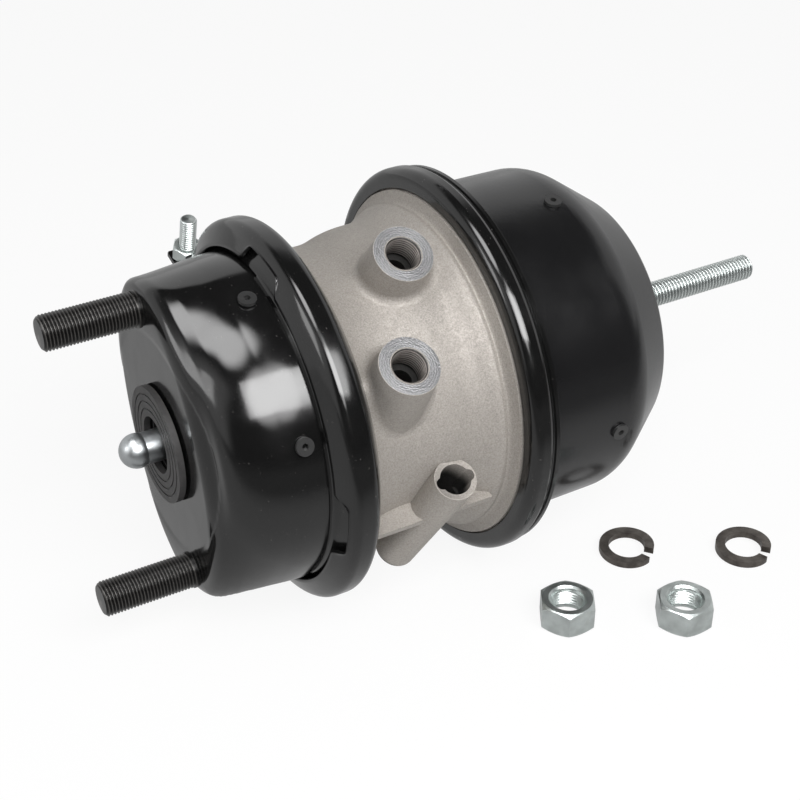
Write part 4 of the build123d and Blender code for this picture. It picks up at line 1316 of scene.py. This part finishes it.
class BRAKE_OT_ports(bpy.types.Operator):
    """Machined faces and internal threads of the air ports"""

    bl_idname = "brake.ports"
    bl_label = "Air ports"

    def execute(self, context):
        sizes = context.scene.brake_threads
        for name, mount in PORTS.items():
            mouth, way = mouth_of(mount)
            hole = MOUNTS[mount]["dims"]
            bore = hole["r_mm"]
            profile = [(PORT_FACE + r, z) for r, z in FACE_OUTSIDE] + [(bore + r, z) for r, z in FACE_INSIDE]
            bm = bmesh.new()
            lathe(bm, [(fixed(r), fixed(z)) for r, z in profile], FACE_STEPS)
            face = finished(bm, name + "_port_face", smooth=False, in_mm=True)
            face.transform(stand_on(mouth, way))
            add_piece(name + "_port_face", face, MATERIALS["machined_" + name], "chamber")
            depth = hole["length_mm"] - THREAD_SHORT
            finish = MATERIALS["tapped_" + name]
            thread = thread_mesh(
                bore - THREAD_CLEAR, depth, sizes.stud_pitch, sizes.port_depth,
                finish, mouth - way * (depth + THREAD_START), way, internal=True,
            )
            add_piece(name + "_port_thread", thread, finish, "chamber")
        return {"FINISHED"}


class BRAKE_OT_clamp_bolt(bpy.types.Operator):
    """Threaded clamp bolt and its nut"""

    bl_idname = "brake.clamp_bolt"
    bl_label = "Clamp bolt"

    def execute(self, context):
        sizes = context.scene.brake_threads
        way = round_way(CLAMP_CLOCK)
        axis = Vector((CLAMP_X, 0, 0)) + out(CLAMP_CLOCK) * CLAMP_AXIS
        radius, length = CLAMP_BOLT
        bolt, finish = threaded_bar(
            "clamp_bolt_zinc", PLATED_PAINTED_LIGHT, radius, length,
            sizes.clamp_pitch, sizes.clamp_depth, axis - way * CLAMP_SEAT, way, CLAMP_CHAMFER,
        )
        pitch = sizes.clamp_pitch / MM
        head = nut_mesh("clamp_head", CLAMP_HEX, CLAMP_HEAD, None, pitch, 0.0, CLAMP_STEPS)
        head.transform(stand_on(axis - way * (CLAMP_SEAT + CLAMP_HEAD), way, (1, 0, 0)))
        merge_into(bolt, head)
        add_piece("clamp_bolt_thread", bolt, finish, "chamber", "clamp_bolt")
        bore, depth = CLAMP_BORE
        nut = nut_mesh("clamp_hex", CLAMP_HEX, CLAMP_NUT, bore, pitch, depth, CLAMP_STEPS)
        nut.transform(stand_on(axis + way * CLAMP_SEAT, way, (1, 0, 0)))
        add_piece("clamp_nut_hex", nut, MATERIALS["zinc_steel"], "chamber", "clamp_nut")
        return {"FINISHED"}


class BRAKE_OT_stage(bpy.types.Operator):
    """Floor, backdrop, lamps and camera"""

    bl_idname = "brake.stage"
    bl_label = "Stage"

    def execute(self, context):
        scene = context.scene
        floor = new_object("floor", floor_mesh())
        scene.world = studio_world()
        for lamp in LAMPS:
            add_lamp(*lamp)
        add_camera()
        scene.view_settings.view_transform = "Standard"
        return {"FINISHED"}


class BRAKE_PT_panel(bpy.types.Panel):
    """Lists the chamber's pieces and sizes"""

    bl_label = "Brake chamber"
    bl_space_type = "VIEW_3D"
    bl_region_type = "UI"
    bl_category = "Brake Chamber"

    def draw(self, context):
        for group in (context.scene.brake_threads, context.scene.brake_paint):
            box = self.layout.box()
            for name in group.__annotations__:
                box.prop(group, name)
        for operator in OPERATORS:
            self.layout.operator(operator.bl_idname)


OPERATORS = (
    BRAKE_OT_finishes,
    BRAKE_OT_pressings,
    BRAKE_OT_studs,
    BRAKE_OT_caging_bolt,
    BRAKE_OT_soft_parts,
    BRAKE_OT_loose_nuts,
    BRAKE_OT_ports,
    BRAKE_OT_clamp_bolt,
    BRAKE_OT_stage,
)
CLASSES = (ThreadSizes, PaintColours, *OPERATORS, BRAKE_PT_panel)


def register():
    """Registers the classes and their settings."""
    for cls in CLASSES:
        bpy.utils.register_class(cls)
    bpy.types.Scene.brake_threads = PointerProperty(type=ThreadSizes)
    bpy.types.Scene.brake_paint = PointerProperty(type=PaintColours)


def unregister():
    """Takes back what register did."""
    del bpy.types.Scene.brake_paint
    del bpy.types.Scene.brake_threads
    for cls in reversed(CLASSES):
        bpy.utils.unregister_class(cls)


def main():
    """Registers the classes, dresses the chamber and sets the stage."""
    register()
    for operator in OPERATORS:
        group, name = operator.bl_idname.split(".")
        getattr(getattr(bpy.ops, group), name)()


if __name__ == "__main__":
    main()
